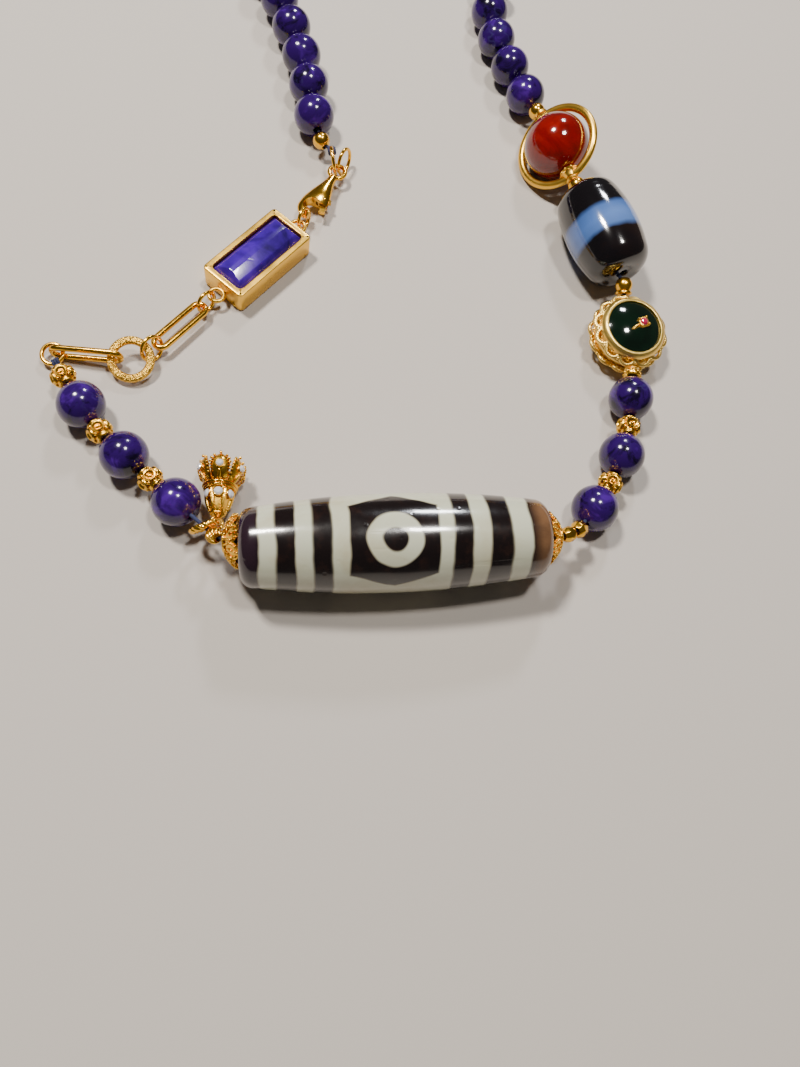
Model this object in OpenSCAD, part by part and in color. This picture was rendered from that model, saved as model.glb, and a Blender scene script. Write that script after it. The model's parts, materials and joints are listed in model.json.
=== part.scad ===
// A dzi bead necklace laid flat in one closed loop. The dzi bead lies along X at the front,
// the clasp side is on the left, and the back of the loop runs out to +Y. Beads rest on z = 0.

/* [Dzi bead] */
// length of the dzi bead
dzi_l = 36.4; // [33:0.2:40]
// diameter at its middle
dzi_d = 11.8; // [10.8:0.1:12.8]
// diameter near its ends, before they round off
dzi_end_d = 9; // [8.2:0.1:9.8]
// rounding of its end edges
dzi_corner = 1.7; // [1.1:0.1:2.1]
// bore through the dzi bead
dzi_bore = 1.2; // [1:0.05:1.5]

/* [Dzi caps] */
// diameter of a petal cap at its rim
cap_d = 6.6; // [6:0.1:7]
// diameter of a petal cap at its tip
cap_tip_d = 2.2; // [2:0.1:2.8]
// length of a petal cap
cap_l = 1.7; // [1.4:0.1:2.2]
// thickness of a cap's sheet
cap_wall = 0.5; // [0.4:0.05:0.6]

/* [Round beads] */
// diameter of a lapis bead
lapis_d = 6; // [5.6:0.1:6.4]
// bore of the lapis beads and of the larger gold pieces
bore = 1; // [0.9:0.05:1.2]
// diameter of the thread
thread_d = 0.5; // [0.4:0.05:0.6]
// diameter of the ribbed gold bead beside the charm
ribbed_d = 2; // [1.8:0.1:2.3]
// diameter of the faceted gold bead beside the right cap
facet_1_d = 2; // [1.8:0.1:2.2]
// diameter of the second faceted gold bead
facet_2_d = 2.2; // [2:0.1:2.5]
// bore of the small gold beads
small_bore = 0.9; // [0.8:0.05:1]
// diameter of the gold bead below the barrel bead
gold_lower_d = 2.4; // [2.2:0.1:2.7]
// diameter of the gold bead above the barrel bead
gold_upper_d = 2.6; // [2.3:0.1:2.8]
// diameter of the gold ball that ends each side
gold_ball_d = 2.5; // [2.2:0.1:2.8]
// diameter of the rondelle beside the medallion
rondelle_d = 2.4; // [2.2:0.1:2.8]
// length of the rondelle
rondelle_l = 1.1; // [0.9:0.1:1.4]

/* [Spacers] */
// length of a gold spacer
spacer_l = 2.6; // [2.3:0.1:2.9]
// distance across a spacer's flat faces
spacer_d = 2.6; // [2.4:0.1:2.9]
// diameter of the ring-and-dot disc on each face
spacer_disc_d = 1.6; // [1.3:0.1:1.7]

/* [Medallion] */
// diameter over the medallion's wire lobes
medallion_d = 11; // [10.4:0.1:11.8]
// outer diameter of its bezel
medallion_bezel_d = 8.4; // [8:0.1:8.8]
// thickness of the bezel's wall
medallion_wall = 0.45; // [0.35:0.05:0.6]
// height of each bezel rim above the medallion's middle
medallion_rim = 2.5; // [2.3:0.1:2.8]
// how far each dome of the stone stands above its rim
dome_rise = 0.9; // [0.6:0.1:1.1]
// tilt of the medallion about its thread
medallion_tilt = 4; // [0:1:12]
// diameter of the ruby
ruby_d = 1.1; // [0.9:0.1:1.3]

/* [Barrel bead and red bead] */
// length of the barrel bead
barrel_l = 14.8; // [13.2:0.2:16.4]
// diameter of the barrel bead
barrel_d = 10.4; // [9.4:0.1:11.4]
// rounding of the barrel bead's ends
barrel_corner = 2.6; // [2:0.1:3]
// diameter of the red bead
red_d = 9.6; // [9:0.1:10]
// outer diameter of the gold frame round the red bead
frame_d = 12.9; // [12.6:0.1:13.6]
// thickness of the frame's wire
frame_wire = 1.2; // [1:0.05:1.3]

/* [Chain links] */
// length of the two long links
link_l = 9.6; // [9.3:0.1:9.9]
// width of the two long links
link_w = 2.7; // [2.6:0.05:2.9]
// wire of the two long links
link_wire = 0.8; // [0.7:0.05:0.85]
// outer diameter of the flat textured ring
washer_d = 6.1; // [5.9:0.1:6.3]
// hole of the flat textured ring
washer_hole = 3.9; // [3.8:0.1:4.1]
// thickness of the flat textured ring
washer_t = 0.66; // [0.55:0.01:0.7]
// wire of the small jump rings
jump_wire = 0.5; // [0.4:0.02:0.54]

/* [Set stone link] */
// length of the rectangular bezel
bezel_l = 14.2; // [13.8:0.1:14.4]
// width of the rectangular bezel
bezel_w = 7; // [6.4:0.1:7.6]
// height of the rectangular bezel
bezel_h = 3.4; // [3:0.1:3.6]
// thickness of its wall
bezel_wall = 0.95; // [0.7:0.05:1.1]
// thickness of its back
bezel_back = 0.5; // [0.4:0.05:0.8]
// how far the stone's ridge stands above the rim
stone_rise = 0.8; // [0.5:0.05:1]

/* [Clasp] */
// distance from the tail loop's centre to the hook's centre
clasp_l = 7.9; // [7.7:0.1:8.1]
// mean radius of the hook
hook_r = 1.6; // [1.5:0.05:1.7]
// thickness of the hook's wire
hook_wire = 0.84; // [0.7:0.02:0.9]
// greatest thickness of the clasp's body
clasp_t = 1.8; // [1.5:0.05:2]
// thickness of the lever
lever_t = 0.5; // [0.4:0.05:0.6]
// diameter of the lever's pin
lever_pin_d = 0.4; // [0.3:0.02:0.44]

/* [Charm] */
// length of the charm from its eye to its petal tips
charm_l = 8.3; // [8:0.1:8.8]
// diameter of the charm's crown of petals
crown_d = 6; // [5.6:0.1:6.2]
// diameter of the charm's collar
collar_d = 4.4; // [4:0.1:4.6]
// diameter of the stones in the petals
petal_stone_d = 0.9; // [0.7:0.05:1]
// diameter of the stones under the collar
cone_stone_d = 1.1; // [0.9:0.05:1.2]
// mean radius of the rope loop that carries the charm
rope_r = 1.6; // [1.5:0.05:1.7]
// thickness of the rope loop
rope_wire = 0.8; // [0.6:0.05:0.84]

/* [Hidden] */
$fn = 48;
gold = "#d9a53a";
lapis_blue = "#231a8c";
dzi_black = "#1c1618";
stone_green = "#0b2a1d";
coral_red = "#8f1216";
thread_blue = "#20265a";

// clearances: between neighbours on the thread, more where the thread bends, and round a set stone
gap = 0.12;
bend_gap = 0.25;
seat = 0.05;
lapis_pitch = lapis_d + gap;
axis_z = lapis_d / 2;

// how far each larger bead's axis lies above the axis of the lapis beads
dzi_lift = dzi_d / 2 - axis_z;
barrel_lift = barrel_d / 2 - axis_z;
frame_roll = -45;
red_lift = max(red_d / 2, (frame_wire - (frame_d - frame_wire) * sin(frame_roll)) / 2) - axis_z;
dzi_bore_shift = 0.9;
frame_pole_d = 2;
barrel_heading = 105;
barrel_taper = 2.4;
barrel_end_d = barrel_d - barrel_taper;

// the medallion rests on its back rim, and its thread climbs through it towards the barrel bead
medallion_climb = 8;
medallion_lean = acos(cos(medallion_tilt) * cos(medallion_climb));
medallion_rest = medallion_bezel_d / 2 * sin(medallion_lean) + medallion_rim * cos(medallion_lean);
medallion_near = medallion_rest - (medallion_d + gap) / 2 * sin(medallion_climb) - axis_z;
medallion_far = medallion_rest + (medallion_d + gap) / 2 * sin(medallion_climb) - axis_z;

// The beads on each side of the dzi bead, outward from it, as [name, length along the thread,
// heading, lift of the far end]. The short rows named slack hold only thread.
left_rows = [
    ["cap", cap_l + gap, 180, dzi_lift],
    ["slack", 0.5, 150, 0.92 * dzi_lift],
    ["ribbed", ribbed_d + gap, 127, 0.68 * dzi_lift],
    ["rope gap", 3.5, 132, 0.1 * dzi_lift],
    ["lapis 3", lapis_pitch, 132, -0.1 * dzi_lift],
    ["spacer 3", spacer_l + bend_gap, 137, -0.1],
    ["lapis 2", lapis_pitch, 134, 0.1],
    ["spacer 2", spacer_l + bend_gap, 127, 0],
    ["lapis 1", lapis_pitch, 121, 0],
    ["slack", 0.3, 118, 0],
    ["spacer 1", spacer_l + gap, 118, 0]
];
right_rows = [
    ["cap", cap_l + gap, 0, dzi_lift],
    ["slack", 0.3, 10, 0.98 * dzi_lift],
    ["facet 1", facet_1_d + gap, 22, 0.78 * dzi_lift],
    ["facet 2", facet_2_d + bend_gap, 36, 0.34 * dzi_lift],
    ["slack", 0.8, 47, 0.14 * dzi_lift],
    ["lapis 3", lapis_pitch, 51, -0.14 * dzi_lift],
    ["spacer 2", spacer_l + bend_gap, 54, -0.1],
    ["lapis 2", lapis_pitch, 64, 0.1],
    ["spacer 1", spacer_l + bend_gap, 75, -0.05],
    ["lapis 1", lapis_pitch, 76, 0.05],
    ["slack", 0.3, 73, 0.2 * medallion_near],
    ["rondelle", rondelle_l + gap, 72, 0.75 * medallion_near],
    ["slack", 0.35, 80, medallion_near],
    ["medallion", medallion_d + gap, 89, medallion_far],
    ["slack", 0.35, 85, 0.9 * medallion_far + 0.1 * barrel_lift],
    ["gold lower", gold_lower_d + gap, 85, 0.15 * medallion_far + 0.85 * barrel_lift],
    ["slack", 0.6, 96, barrel_lift],
    ["barrel", barrel_l + gap, barrel_heading, barrel_lift],
    ["gold upper", gold_upper_d + bend_gap, 106, red_lift],
    ["frame", frame_d + gap, 103, red_lift],
    ["slack", 0.6, 99, 0.8 * red_lift],
    ["gold ball", gold_ball_d + gap, 98, 0.1 * red_lift],
    ["slack", 0.25, 100, 0]
];
left_knots = walk([-dzi_l / 2, dzi_bore_shift, dzi_d / 2], left_rows);
right_knots = walk([dzi_l / 2, 0, dzi_d / 2], right_rows);
left_end = left_knots[len(left_rows)];
right_end = right_knots[len(right_rows)];

// The links of the clasp side as [name, place, turn], chosen with the last spacer ending at chain_home.
// The clasp is held by its hook, and the two rings on its tail are placed from its tail loop.
chain_home = [-40.9, 26.1];
chain_route = [
    ["end ring", [-42.3, 29.3, 1.25], [12, -4, -1]],
    ["edge link", [-38, 29, 1.62], [91, -4, -9]],
    ["washer", [-32.4, 28.1, 1.77], [18, 0, -5]],
    ["chain ring", [-29.8, 29.7, 1.8], [69, 0, 48]],
    ["paperclip", [-26.3, 33.4, 1.6], [-2, 1, 47]],
    ["bezel ring", [-22.9, 37.1, 1.68], [81, -1, 45]],
    ["bezel", [-15.9, 44.1, 1.84], [2, 0, 46]],
    ["claw ring", [-9.3, 51.4, 1.72], [79, 1, 58]],
    ["hook", [-8.17, 53.13, 1.87], [0, 0, -121]]
];
tail_route = [
    ["ring b", [1.1, 1.9, 0.15], [82, -1, 59]],
    ["ring a", [-0.5, 1.7, 0.34], [81, -3, 94]]
];
chain_shift = [left_end[0] - chain_home[0], left_end[1] - chain_home[1], 0];
ring_a_r = 1.85;
ring_b_r = 1.75;
end_ring_r = 1.35;
chain_ring_r = 1.6;
bezel_ring_r = 1.4;
claw_ring_r = 1.42;
end_ring_wire = jump_wire + 0.06;

// the thread's loops round the two end rings
loop_r = jump_wire / 2 + thread_d / 2 + 0.16;
ring_a_loop = on_link("ring a", [ring_a_r, 0, 0]);
ring_a_axis = turned([0, 1, 0], link_turn("ring a"));
end_loop_angle = -66;
end_loop = on_link("end ring", end_ring_r * [cos(end_loop_angle), sin(end_loop_angle), 0]);
end_loop_axis = turned([-sin(end_loop_angle), cos(end_loop_angle), 0], link_turn("end ring"));

// From the clasp the thread takes a gold ball, and then the hidden back of lapis beads.
back_rows = [
    ["slack", 1, 150, -0.75],
    ["gold ball", gold_ball_d + bend_gap, 118, -0.1],
    ["slack", 0.2, 100, 0]
];
back_knots = walk(ring_a_loop, back_rows);
back_route = [
    [-7.6, 80], [-11, 94], [-17.5, 112], [-23.3, 131], [-21.5, 151], [-10, 166.5], [6, 172.9],
    [22, 165.5], [32.5, 150], [33.5, 130], [28, 110.5], [22.8, 92.4]
];
back_start = back_knots[len(back_rows)];
back_points = concat([flat(back_start)], back_route, [flat(right_end)]);
curve_steps = 12;
back_curve = smooth(back_points, curve_steps);
back_lengths = running_length(back_curve);
back_l = back_lengths[len(back_lengths) - 1];
string_gap = 0.16;
string_count = floor(back_l / (lapis_d + string_gap));
left_string_count = floor(string_count / 2);
string_knots = [for (i = [0 : string_count]) along_curve(back_l * i / string_count)];

// the whole thread, from its loop round ring a, along the back, and round the front to the end ring
thread_path = concat(
    [ring_a_loop + loop_r * unit(back_knots[1] - ring_a_loop)],
    [back_knots[1]],
    string_knots,
    [for (i = [len(right_rows) - 1 : -1 : 0]) right_knots[i]],
    left_knots,
    [end_loop + loop_r * unit(left_end - end_loop)]
);

// the drawing's origin is the middle of everything seen from above
front_edge = -dzi_d / 2;
back_edge = max([for (i = [1 : string_count]) (string_knots[i - 1][1] + string_knots[i][1]) / 2]) + lapis_d / 2;
left_edge = link_place("end ring")[0] - end_ring_r - end_ring_wire / 2;
barrel_index = row_index(right_rows, "barrel");
barrel_middle = (right_knots[barrel_index] + right_knots[barrel_index + 1]) / 2;
right_edge = barrel_middle[0] + barrel_corner
    + corner_middle(barrel_l, barrel_d, barrel_end_d, barrel_corner) * [sin(barrel_heading), -cos(barrel_heading)];
middle = [(left_edge + right_edge) / 2, (front_edge + back_edge) / 2, 0];

// clasp, in its own frame with x from the tail loop to the hook
tail_r = 1.15;
tail_wire = 0.64;
hook_hole_r = hook_r - hook_wire / 2;
hook_outer_r = hook_r + hook_wire / 2;
clasp_neck_w = 1.1;
clasp_neck_x = tail_r;
lever_pivot = [clasp_l - 1.9, 0.95];
lever_hub_r = 0.5;
lever_reach = 2.05;
lever_clear = 0.1;
lever_pin_clear = 0.04;
slot_t = lever_t + 0.1;

// charm, in its own frame with x from its eye to its petals
eye_r = 0.75;
eye_wire = 0.4;
cone_x = 0.72;
collar_x = 0.54 * charm_l;
petal_stone_x = 0.8 * charm_l;
petal_stone_r = 0.49 * crown_d - 0.34;
cone_stone_x = collar_x - 0.95;
cone_stone_r = 0.36 * collar_d - 0.3;
petal_count = 6;
petal_wall = 0.45;
rope_normal = unit([-0.3, 0.9, 0.3]);
rope_across = unit([rope_normal[1], -rope_normal[0], 0]);
rope_down = cross(rope_normal, rope_across);
rope_middle = (left_knots[3] + left_knots[4]) / 2 + [0.5, -0.25, -0.1];
eye_angle = 30;
charm_eye = rope_middle + rope_r * (cos(eye_angle) * rope_across + sin(eye_angle) * rope_down);
charm_heading = 85;
charm_drop = asin((charm_eye[2] - petal_stone_r - 0.52 * petal_stone_d - 0.03) / (0.8 * charm_l));
eye_roll = 34;

// spacers and petal caps
spacer_faces = 5;
spacer_disc_h = 0.55;
spacer_rim = 0.2;
spacer_dot_d = 0.5;
cap_petals = 8;
cap_notch_r = 0.5;
cap_slot_r = 0.24;

// set stone link
bezel_corner = 0.6;
bail_r = 1;
bail_wire = 0.54;
bail_reach = bail_r + 0.05;
bail_drop = 0.2;
stone_shoulder = 0.5;

// medallion and ruby
lobe_count = 12;
lobe_wire = 0.5;
lobe_r = 1.05;
lobe_slope = 25;
lobe_z = 1.4;
stone_sink = 0.2;
dome_top = medallion_rim - stone_sink + dome_rise;
stone_r = medallion_bezel_d / 2 - medallion_wall - seat;
dome_r = (pow(stone_r, 2) + pow(dome_rise, 2)) / (2 * dome_rise);
ruby_at = [0.3, -0.9];
leaf_at = [-0.36, 0.16];
leaf_heading = 122;
ruby_base = dome_top - 0.3;

function unit(v) = v / norm(v);
function flat(p) = [p[0], p[1]];

// the knots of the thread at the ends of the rows, walked from a point
function walk(at, rows, i = 0) =
    i == len(rows) ? [at] :
    let (rise = axis_z + rows[i][3] - at[2],
         run = sqrt(pow(rows[i][1], 2) - rise * rise),
         next = at + [run * cos(rows[i][2]), run * sin(rows[i][2]), rise])
    concat([at], walk(next, rows, i + 1));

function row_index(rows, name) = [for (i = [0 : len(rows) - 1]) if (rows[i][0] == name) i][0];

// a vector after rotate(turn)
function turned(v, turn) =
    let (a = [v[0], v[1] * cos(turn[0]) - v[2] * sin(turn[0]), v[1] * sin(turn[0]) + v[2] * cos(turn[0])],
         b = [a[0] * cos(turn[1]) + a[2] * sin(turn[1]), a[1], a[2] * cos(turn[1]) - a[0] * sin(turn[1])])
    [b[0] * cos(turn[2]) - b[1] * sin(turn[2]), b[0] * sin(turn[2]) + b[1] * cos(turn[2]), b[2]];

function link_row(name) = [for (row = concat(chain_route, tail_route)) if (row[0] == name) row][0];
function link_turn(name) = link_row(name)[2];
function tail_place() = link_row("hook")[1] + chain_shift - turned([clasp_l, 0, 0], link_turn("hook"));
function on_tail(name) = len([for (row = tail_route) if (row[0] == name) row]) > 0;
function link_place(name) = link_row(name)[1] + (on_tail(name) ? tail_place() : chain_shift);
function on_link(name, p) = link_place(name) + turned(p, link_turn(name));

// a smooth curve through points, by Catmull and Rom's formula
function blend_point(a, b, c, d, t) =
    0.5 * (2 * b + (c - a) * t + (2 * a - 5 * b + 4 * c - d) * t * t + (3 * b - a - 3 * c + d) * t * t * t);
function smooth(points, steps) =
    let (last = len(points) - 1,
         ends = concat([2 * points[0] - points[1]], points, [2 * points[last] - points[last - 1]]))
    concat([for (i = [1 : last], s = [0 : steps - 1])
                blend_point(ends[i - 1], ends[i], ends[i + 1], ends[i + 2], s / steps)],
           [points[last]]);
function running_length(curve) =
    [for (i = 0, s = 0; i < len(curve); s = s + norm(curve[min(i + 1, len(curve) - 1)] - curve[i]), i = i + 1) s];
function along_curve(s) =
    let (last = len(back_curve) - 1)
    [for (axis = [0, 1]) lookup(s, [for (i = [0 : last]) [back_lengths[i], back_curve[i][axis]]])];
function raised(p) = [p[0], p[1], axis_z];

// its children's x axis lies from a to b, and their origin in the middle
module along(a, b) {
    d = b - a;
    translate((a + b) / 2)
        rotate([0, -atan2(d[2], norm([d[0], d[1]])), atan2(d[1], d[0])])
            children();
}

module laid() translate(-middle) children();

module on_row(rows, knots, name) {
    i = row_index(rows, name);
    laid() along(knots[i], knots[i + 1]) children();
}

module on_chain(name) laid() translate(link_place(name)) rotate(link_turn(name)) children();
module on_clasp() laid() translate(tail_place()) rotate(link_turn("hook")) children();

module x_rod(d, l) rotate([0, 90, 0]) cylinder(d = d, h = l, center = true);

module ring(mean_r, wire) rotate_extrude() translate([mean_r, 0]) circle(d = wire);

module round_bead(d, hole) {
    rotate([0, 90, 0]) rotate_extrude() intersection() {
        circle(d = d);
        translate([hole / 2, -d / 2]) square(d);
    }
}

// the radius of a barrel's long arc, which would reach end_d at its ends
function arc_radius(l, d, end_d) =
    let (sag = (d - end_d) / 2)
    (l * l / 4 + sag * sag) / (2 * sag);

// the middle of the rounding at a barrel's end, as [radius, distance along the axis]
function corner_middle(l, d, end_d, corner) =
    let (arc_r = arc_radius(l, d, end_d), y = l / 2 - corner)
    [d / 2 - arc_r + sqrt(pow(arc_r - corner, 2) - y * y), y];

// the half outline of a barrel: a long arc that meets a rounded edge at each end
module barrel_outline(l, d, end_d, corner) {
    arc_r = arc_radius(l, d, end_d);
    arc_x = d / 2 - arc_r;
    corner_x = corner_middle(l, d, end_d, corner)[0];
    corner_y = corner_middle(l, d, end_d, corner)[1];
    meet_y = corner_y * arc_r / (arc_r - corner);
    intersection() {
        union() {
            intersection() {
                translate([arc_x, 0]) circle(arc_r, $fn = 720);
                translate([0, -meet_y]) square([d, 2 * meet_y]);
            }
            translate([0, -l / 2]) square([corner_x, l]);
            for (side = [-1, 1]) translate([corner_x, side * corner_y]) circle(corner);
        }
        translate([0, -l / 2]) square([d, l]);
    }
}

module barrel_shape(l, d, end_d, corner) rotate([0, 90, 0]) rotate_extrude() barrel_outline(l, d, end_d, corner);

module spacer_shape() {
    core_r = spacer_d / 2 - spacer_disc_h + spacer_rim;
    difference() {
        union() {
            x_rod(2 * core_r, spacer_l - spacer_rim);
            for (side = [-1, 1]) translate([side * (spacer_l - 2 * spacer_rim) / 2, 0, 0]) rotate([0, 90, 0])
                ring(core_r, 2 * spacer_rim);
            for (k = [0 : spacer_faces - 1]) rotate([360 * k / spacer_faces, 0, 0])
                translate([0, 0, spacer_d / 2 - spacer_disc_h]) {
                    cylinder(d = spacer_disc_d, h = spacer_disc_h);
                    difference() {
                        cylinder(d = spacer_disc_d, h = spacer_disc_h + spacer_rim);
                        cylinder(d = spacer_disc_d - 2 * spacer_rim, h = 2 * spacer_disc_h);
                    }
                    cylinder(d = spacer_dot_d, h = spacer_disc_h + 0.8 * spacer_rim);
                }
        }
        x_rod(bore, spacer_l + 1);
    }
}

// a dome of petals, its rim towards -x
module petal_cap_shape() {
    rim_r = cap_d / 2;
    tip_r = cap_tip_d / 2;
    dome_x = (tip_r * tip_r - rim_r * rim_r) / (2 * cap_l);
    dome = norm([cap_l / 2 + dome_x, rim_r]);
    difference() {
        rotate([0, 90, 0]) rotate_extrude() intersection() {
            difference() {
                translate([0, dome_x]) circle(dome);
                translate([0, dome_x]) circle(dome - cap_wall);
            }
            translate([bore / 2, -cap_l / 2]) square([cap_d, cap_l]);
        }
        for (k = [0 : cap_petals - 1]) rotate([360 * k / cap_petals, 0, 0]) {
            translate([-cap_l / 2, 0, 0]) cylinder(r = cap_notch_r, h = cap_d);
            rotate([180 / cap_petals, 0, 0]) translate([-0.1, 0, 0.62 * rim_r]) rotate([0, 30, 0])
                cylinder(r = cap_slot_r, h = 4 * cap_wall, center = true);
        }
    }
}

module link_shape() {
    end_r = (link_w - link_wire) / 2;
    side_l = link_l - link_w;
    for (side = [-1, 1]) {
        translate([side * side_l / 2, 0, 0]) rotate([0, 0, -90 * side]) rotate_extrude(angle = 180)
            translate([end_r, 0]) circle(d = link_wire);
        translate([0, side * end_r, 0]) x_rod(link_wire, side_l);
    }
}

// a plate with straight sides and rounded corners, lying on z = 0
module rounded_plate(l, w, h, corner) {
    translate([-l / 2 + corner, -w / 2, 0]) cube([l - 2 * corner, w, h]);
    translate([-l / 2, -w / 2 + corner, 0]) cube([l, w - 2 * corner, h]);
    for (x = [-1, 1], y = [-1, 1]) translate([x * (l / 2 - corner), y * (w / 2 - corner), 0])
        cylinder(r = corner, h = h);
}

// an eight-sided cut stone with a table, its base on z = 0
module cut_stone(d) {
    cylinder(d1 = 0.7 * d, d2 = d, h = 0.2 * d, $fn = 8);
    translate([0, 0, 0.2 * d]) cylinder(d = d, h = 0.1 * d, $fn = 8);
    translate([0, 0, 0.3 * d]) cylinder(d1 = d, d2 = 0.56 * d, h = 0.22 * d, $fn = 8);
}

// a tube through a path of points, closed at both ends
module swept_tube(path, d, sides) {
    last = len(path) - 1;
    steps = [for (i = [0 : last - 1]) unit(path[i + 1] - path[i])];
    points = [
        for (i = [0 : last])
            let (ahead = unit(steps[max(i - 1, 0)] + steps[min(i, last - 1)]),
                 left = unit(cross([0, 0, 1], ahead)),
                 up = cross(ahead, left))
            for (k = [0 : sides - 1])
                path[i] + d / 2 * (cos(360 * k / sides) * left + sin(360 * k / sides) * up)
    ];
    walls = [
        for (i = [0 : last - 1], k = [0 : sides - 1])
            let (next = (k + 1) % sides)
            [i * sides + k, (i + 1) * sides + k, (i + 1) * sides + next, i * sides + next]
    ];
    start_cap = [[for (k = [0 : sides - 1]) k]];
    end_cap = [[for (k = [sides - 1 : -1 : 0]) last * sides + k]];
    polyhedron(points, concat(walls, start_cap, end_cap), convexity = 20);
}

module thread_loop(centre, axis) {
    translate(centre) rotate([0, acos(axis[2]), atan2(axis[1], axis[0])])
        rotate_extrude($fn = 16) translate([loop_r, 0]) circle(d = thread_d, $fn = 8);
}

module thread() color(thread_blue) laid() {
    swept_tube([for (p = thread_path) len(p) == 2 ? raised(p) : p], thread_d, 8);
    thread_loop(ring_a_loop, ring_a_axis);
    thread_loop(end_loop, end_loop_axis);
}

module lapis_string(first, last) color(lapis_blue) laid() {
    for (i = [first : last]) along(raised(string_knots[i]), raised(string_knots[i + 1])) round_bead(lapis_d, bore);
}

module lapis_string_left() lapis_string(0, left_string_count - 1);
module lapis_string_right() lapis_string(left_string_count, string_count - 1);

module gold_ball_left() color(gold) on_row(back_rows, back_knots, "gold ball") round_bead(gold_ball_d, small_bore);
module gold_ball_right() color(gold) on_row(right_rows, right_knots, "gold ball") round_bead(gold_ball_d, small_bore);

module clasp_ring_a() color(gold) on_chain("ring a") ring(ring_a_r, jump_wire);
module clasp_ring_b() color(gold) on_chain("ring b") ring(ring_b_r, jump_wire);
module claw_ring() color(gold) on_chain("claw ring") ring(claw_ring_r, jump_wire);
module bezel_ring() color(gold) on_chain("bezel ring") ring(bezel_ring_r, jump_wire);
module chain_ring() color(gold) on_chain("chain ring") ring(chain_ring_r, jump_wire);
module end_ring() color(gold) on_chain("end ring") ring(end_ring_r, end_ring_wire);
module paperclip_link() color(gold) on_chain("paperclip") link_shape();
module edge_link() color(gold) on_chain("edge link") link_shape();

module textured_ring() color(gold) on_chain("washer") {
    edge = washer_t / 2;
    inner = washer_hole / 2 + edge;
    outer = washer_d / 2 - edge;
    rotate_extrude() {
        translate([inner, -edge]) square([outer - inner, washer_t]);
        for (r = [inner, outer]) translate([r, 0]) circle(edge);
    }
}

// the clasp seen from above: a neck that widens to a round end, its sides meeting the round just inside it
module clasp_outline(round_r) {
    taper = asin((round_r - clasp_neck_w / 2) / (clasp_l - clasp_neck_x));
    touch = 0.99 * round_r * [-sin(taper), cos(taper)] + [clasp_l, 0];
    translate([clasp_l, 0]) circle(round_r);
    polygon([[clasp_neck_x, -clasp_neck_w / 2], [touch[0], -touch[1]], touch, [clasp_neck_x, clasp_neck_w / 2]]);
}

// the round of one face of the clasp's middle, which falls to the hook's wire at its sides
module clasp_dome(side) {
    drop = (clasp_t - hook_wire) / 2;
    dome_r = (hook_outer_r * hook_outer_r + drop * drop) / (2 * drop);
    rotate([side, 0, 0]) translate([0, 0, clasp_t / 2 - dome_r]) rotate([0, 90, 0])
        cylinder(r = dome_r, h = 4 * clasp_l, center = true, $fn = 180);
}

// the clasp's solid middle, thickest two thirds of the way to the hook
module clasp_belly() intersection() {
    linear_extrude(height = 2 * clasp_t, center = true) clasp_outline(hook_r + 0.2 * hook_wire);
    rotate([90, 0, 0]) linear_extrude(height = 4 * hook_outer_r, center = true) polygon([
        [0, -tail_wire / 2], [0.3 * clasp_l, -0.42 * clasp_t], [0.62 * clasp_l, -0.51 * clasp_t],
        [clasp_l + hook_outer_r, -0.32 * clasp_t], [clasp_l + hook_outer_r, 0.32 * clasp_t],
        [0.62 * clasp_l, 0.51 * clasp_t], [0.3 * clasp_l, 0.42 * clasp_t], [0, tail_wire / 2]
    ]);
    clasp_dome(0);
    clasp_dome(180);
}

module at_pivot(h, r) translate([lever_pivot[0], lever_pivot[1], 0]) cylinder(r = r, h = h, center = true);

module clasp_body() color(gold) on_clasp() {
    difference() {
        union() {
            clasp_belly();
            translate([clasp_l, 0, 0]) ring(hook_r, hook_wire);
            ring(tail_r, tail_wire);
        }
        translate([clasp_l, 0, 0]) cylinder(r = hook_hole_r, h = clasp_t + 1, center = true);
        cylinder(r = tail_r - tail_wire / 2, h = clasp_t + 1, center = true);
        intersection() {
            at_pivot(clasp_t + 1, lever_reach + lever_clear);
            translate([lever_pivot[0] + 0.85, 0.3, -clasp_t]) cube([4, 4, 2 * clasp_t]);
        }
        translate([lever_pivot[0] - 0.65, lever_pivot[1] - 0.85, -slot_t / 2]) cube([2, 4, slot_t]);
    }
    at_pivot(clasp_t - 0.3, lever_pin_d / 2);
}

module clasp_lever() color(gold) on_clasp() difference() {
    union() {
        at_pivot(lever_t, lever_hub_r);
        intersection() {
            linear_extrude(height = lever_t, center = true) clasp_outline(hook_outer_r);
            at_pivot(lever_t, lever_reach);
            translate([lever_pivot[0], lever_pivot[1] - lever_hub_r, -lever_t]) cube([3, 3, 2 * lever_t]);
        }
        translate([lever_pivot[0], lever_pivot[1], 0]) linear_extrude(height = lever_t, center = true)
            polygon([[-0.35, 0], [-0.6, 0.95], [-0.15, 1.1], [0.3, 0]]);
    }
    translate([clasp_l, 0, 0]) cylinder(r = hook_hole_r + 0.03, h = clasp_t, center = true);
    at_pivot(clasp_t, lever_pin_d / 2 + lever_pin_clear);
}

module bezel_link() color(gold) on_chain("bezel") {
    difference() {
        translate([0, 0, -bezel_h / 2]) rounded_plate(bezel_l, bezel_w, bezel_h, bezel_corner);
        translate([-bezel_l / 2 + bezel_wall, -bezel_w / 2 + bezel_wall, bezel_back - bezel_h / 2])
            cube([bezel_l - 2 * bezel_wall, bezel_w - 2 * bezel_wall, bezel_h]);
    }
    for (side = [-1, 1]) difference() {
        translate([side * (bezel_l / 2 + bail_reach), 0, -bail_drop]) ring(bail_r, bail_wire);
        cube([bezel_l - bezel_wall, bezel_w, bezel_h], center = true);
    }
}

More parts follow.
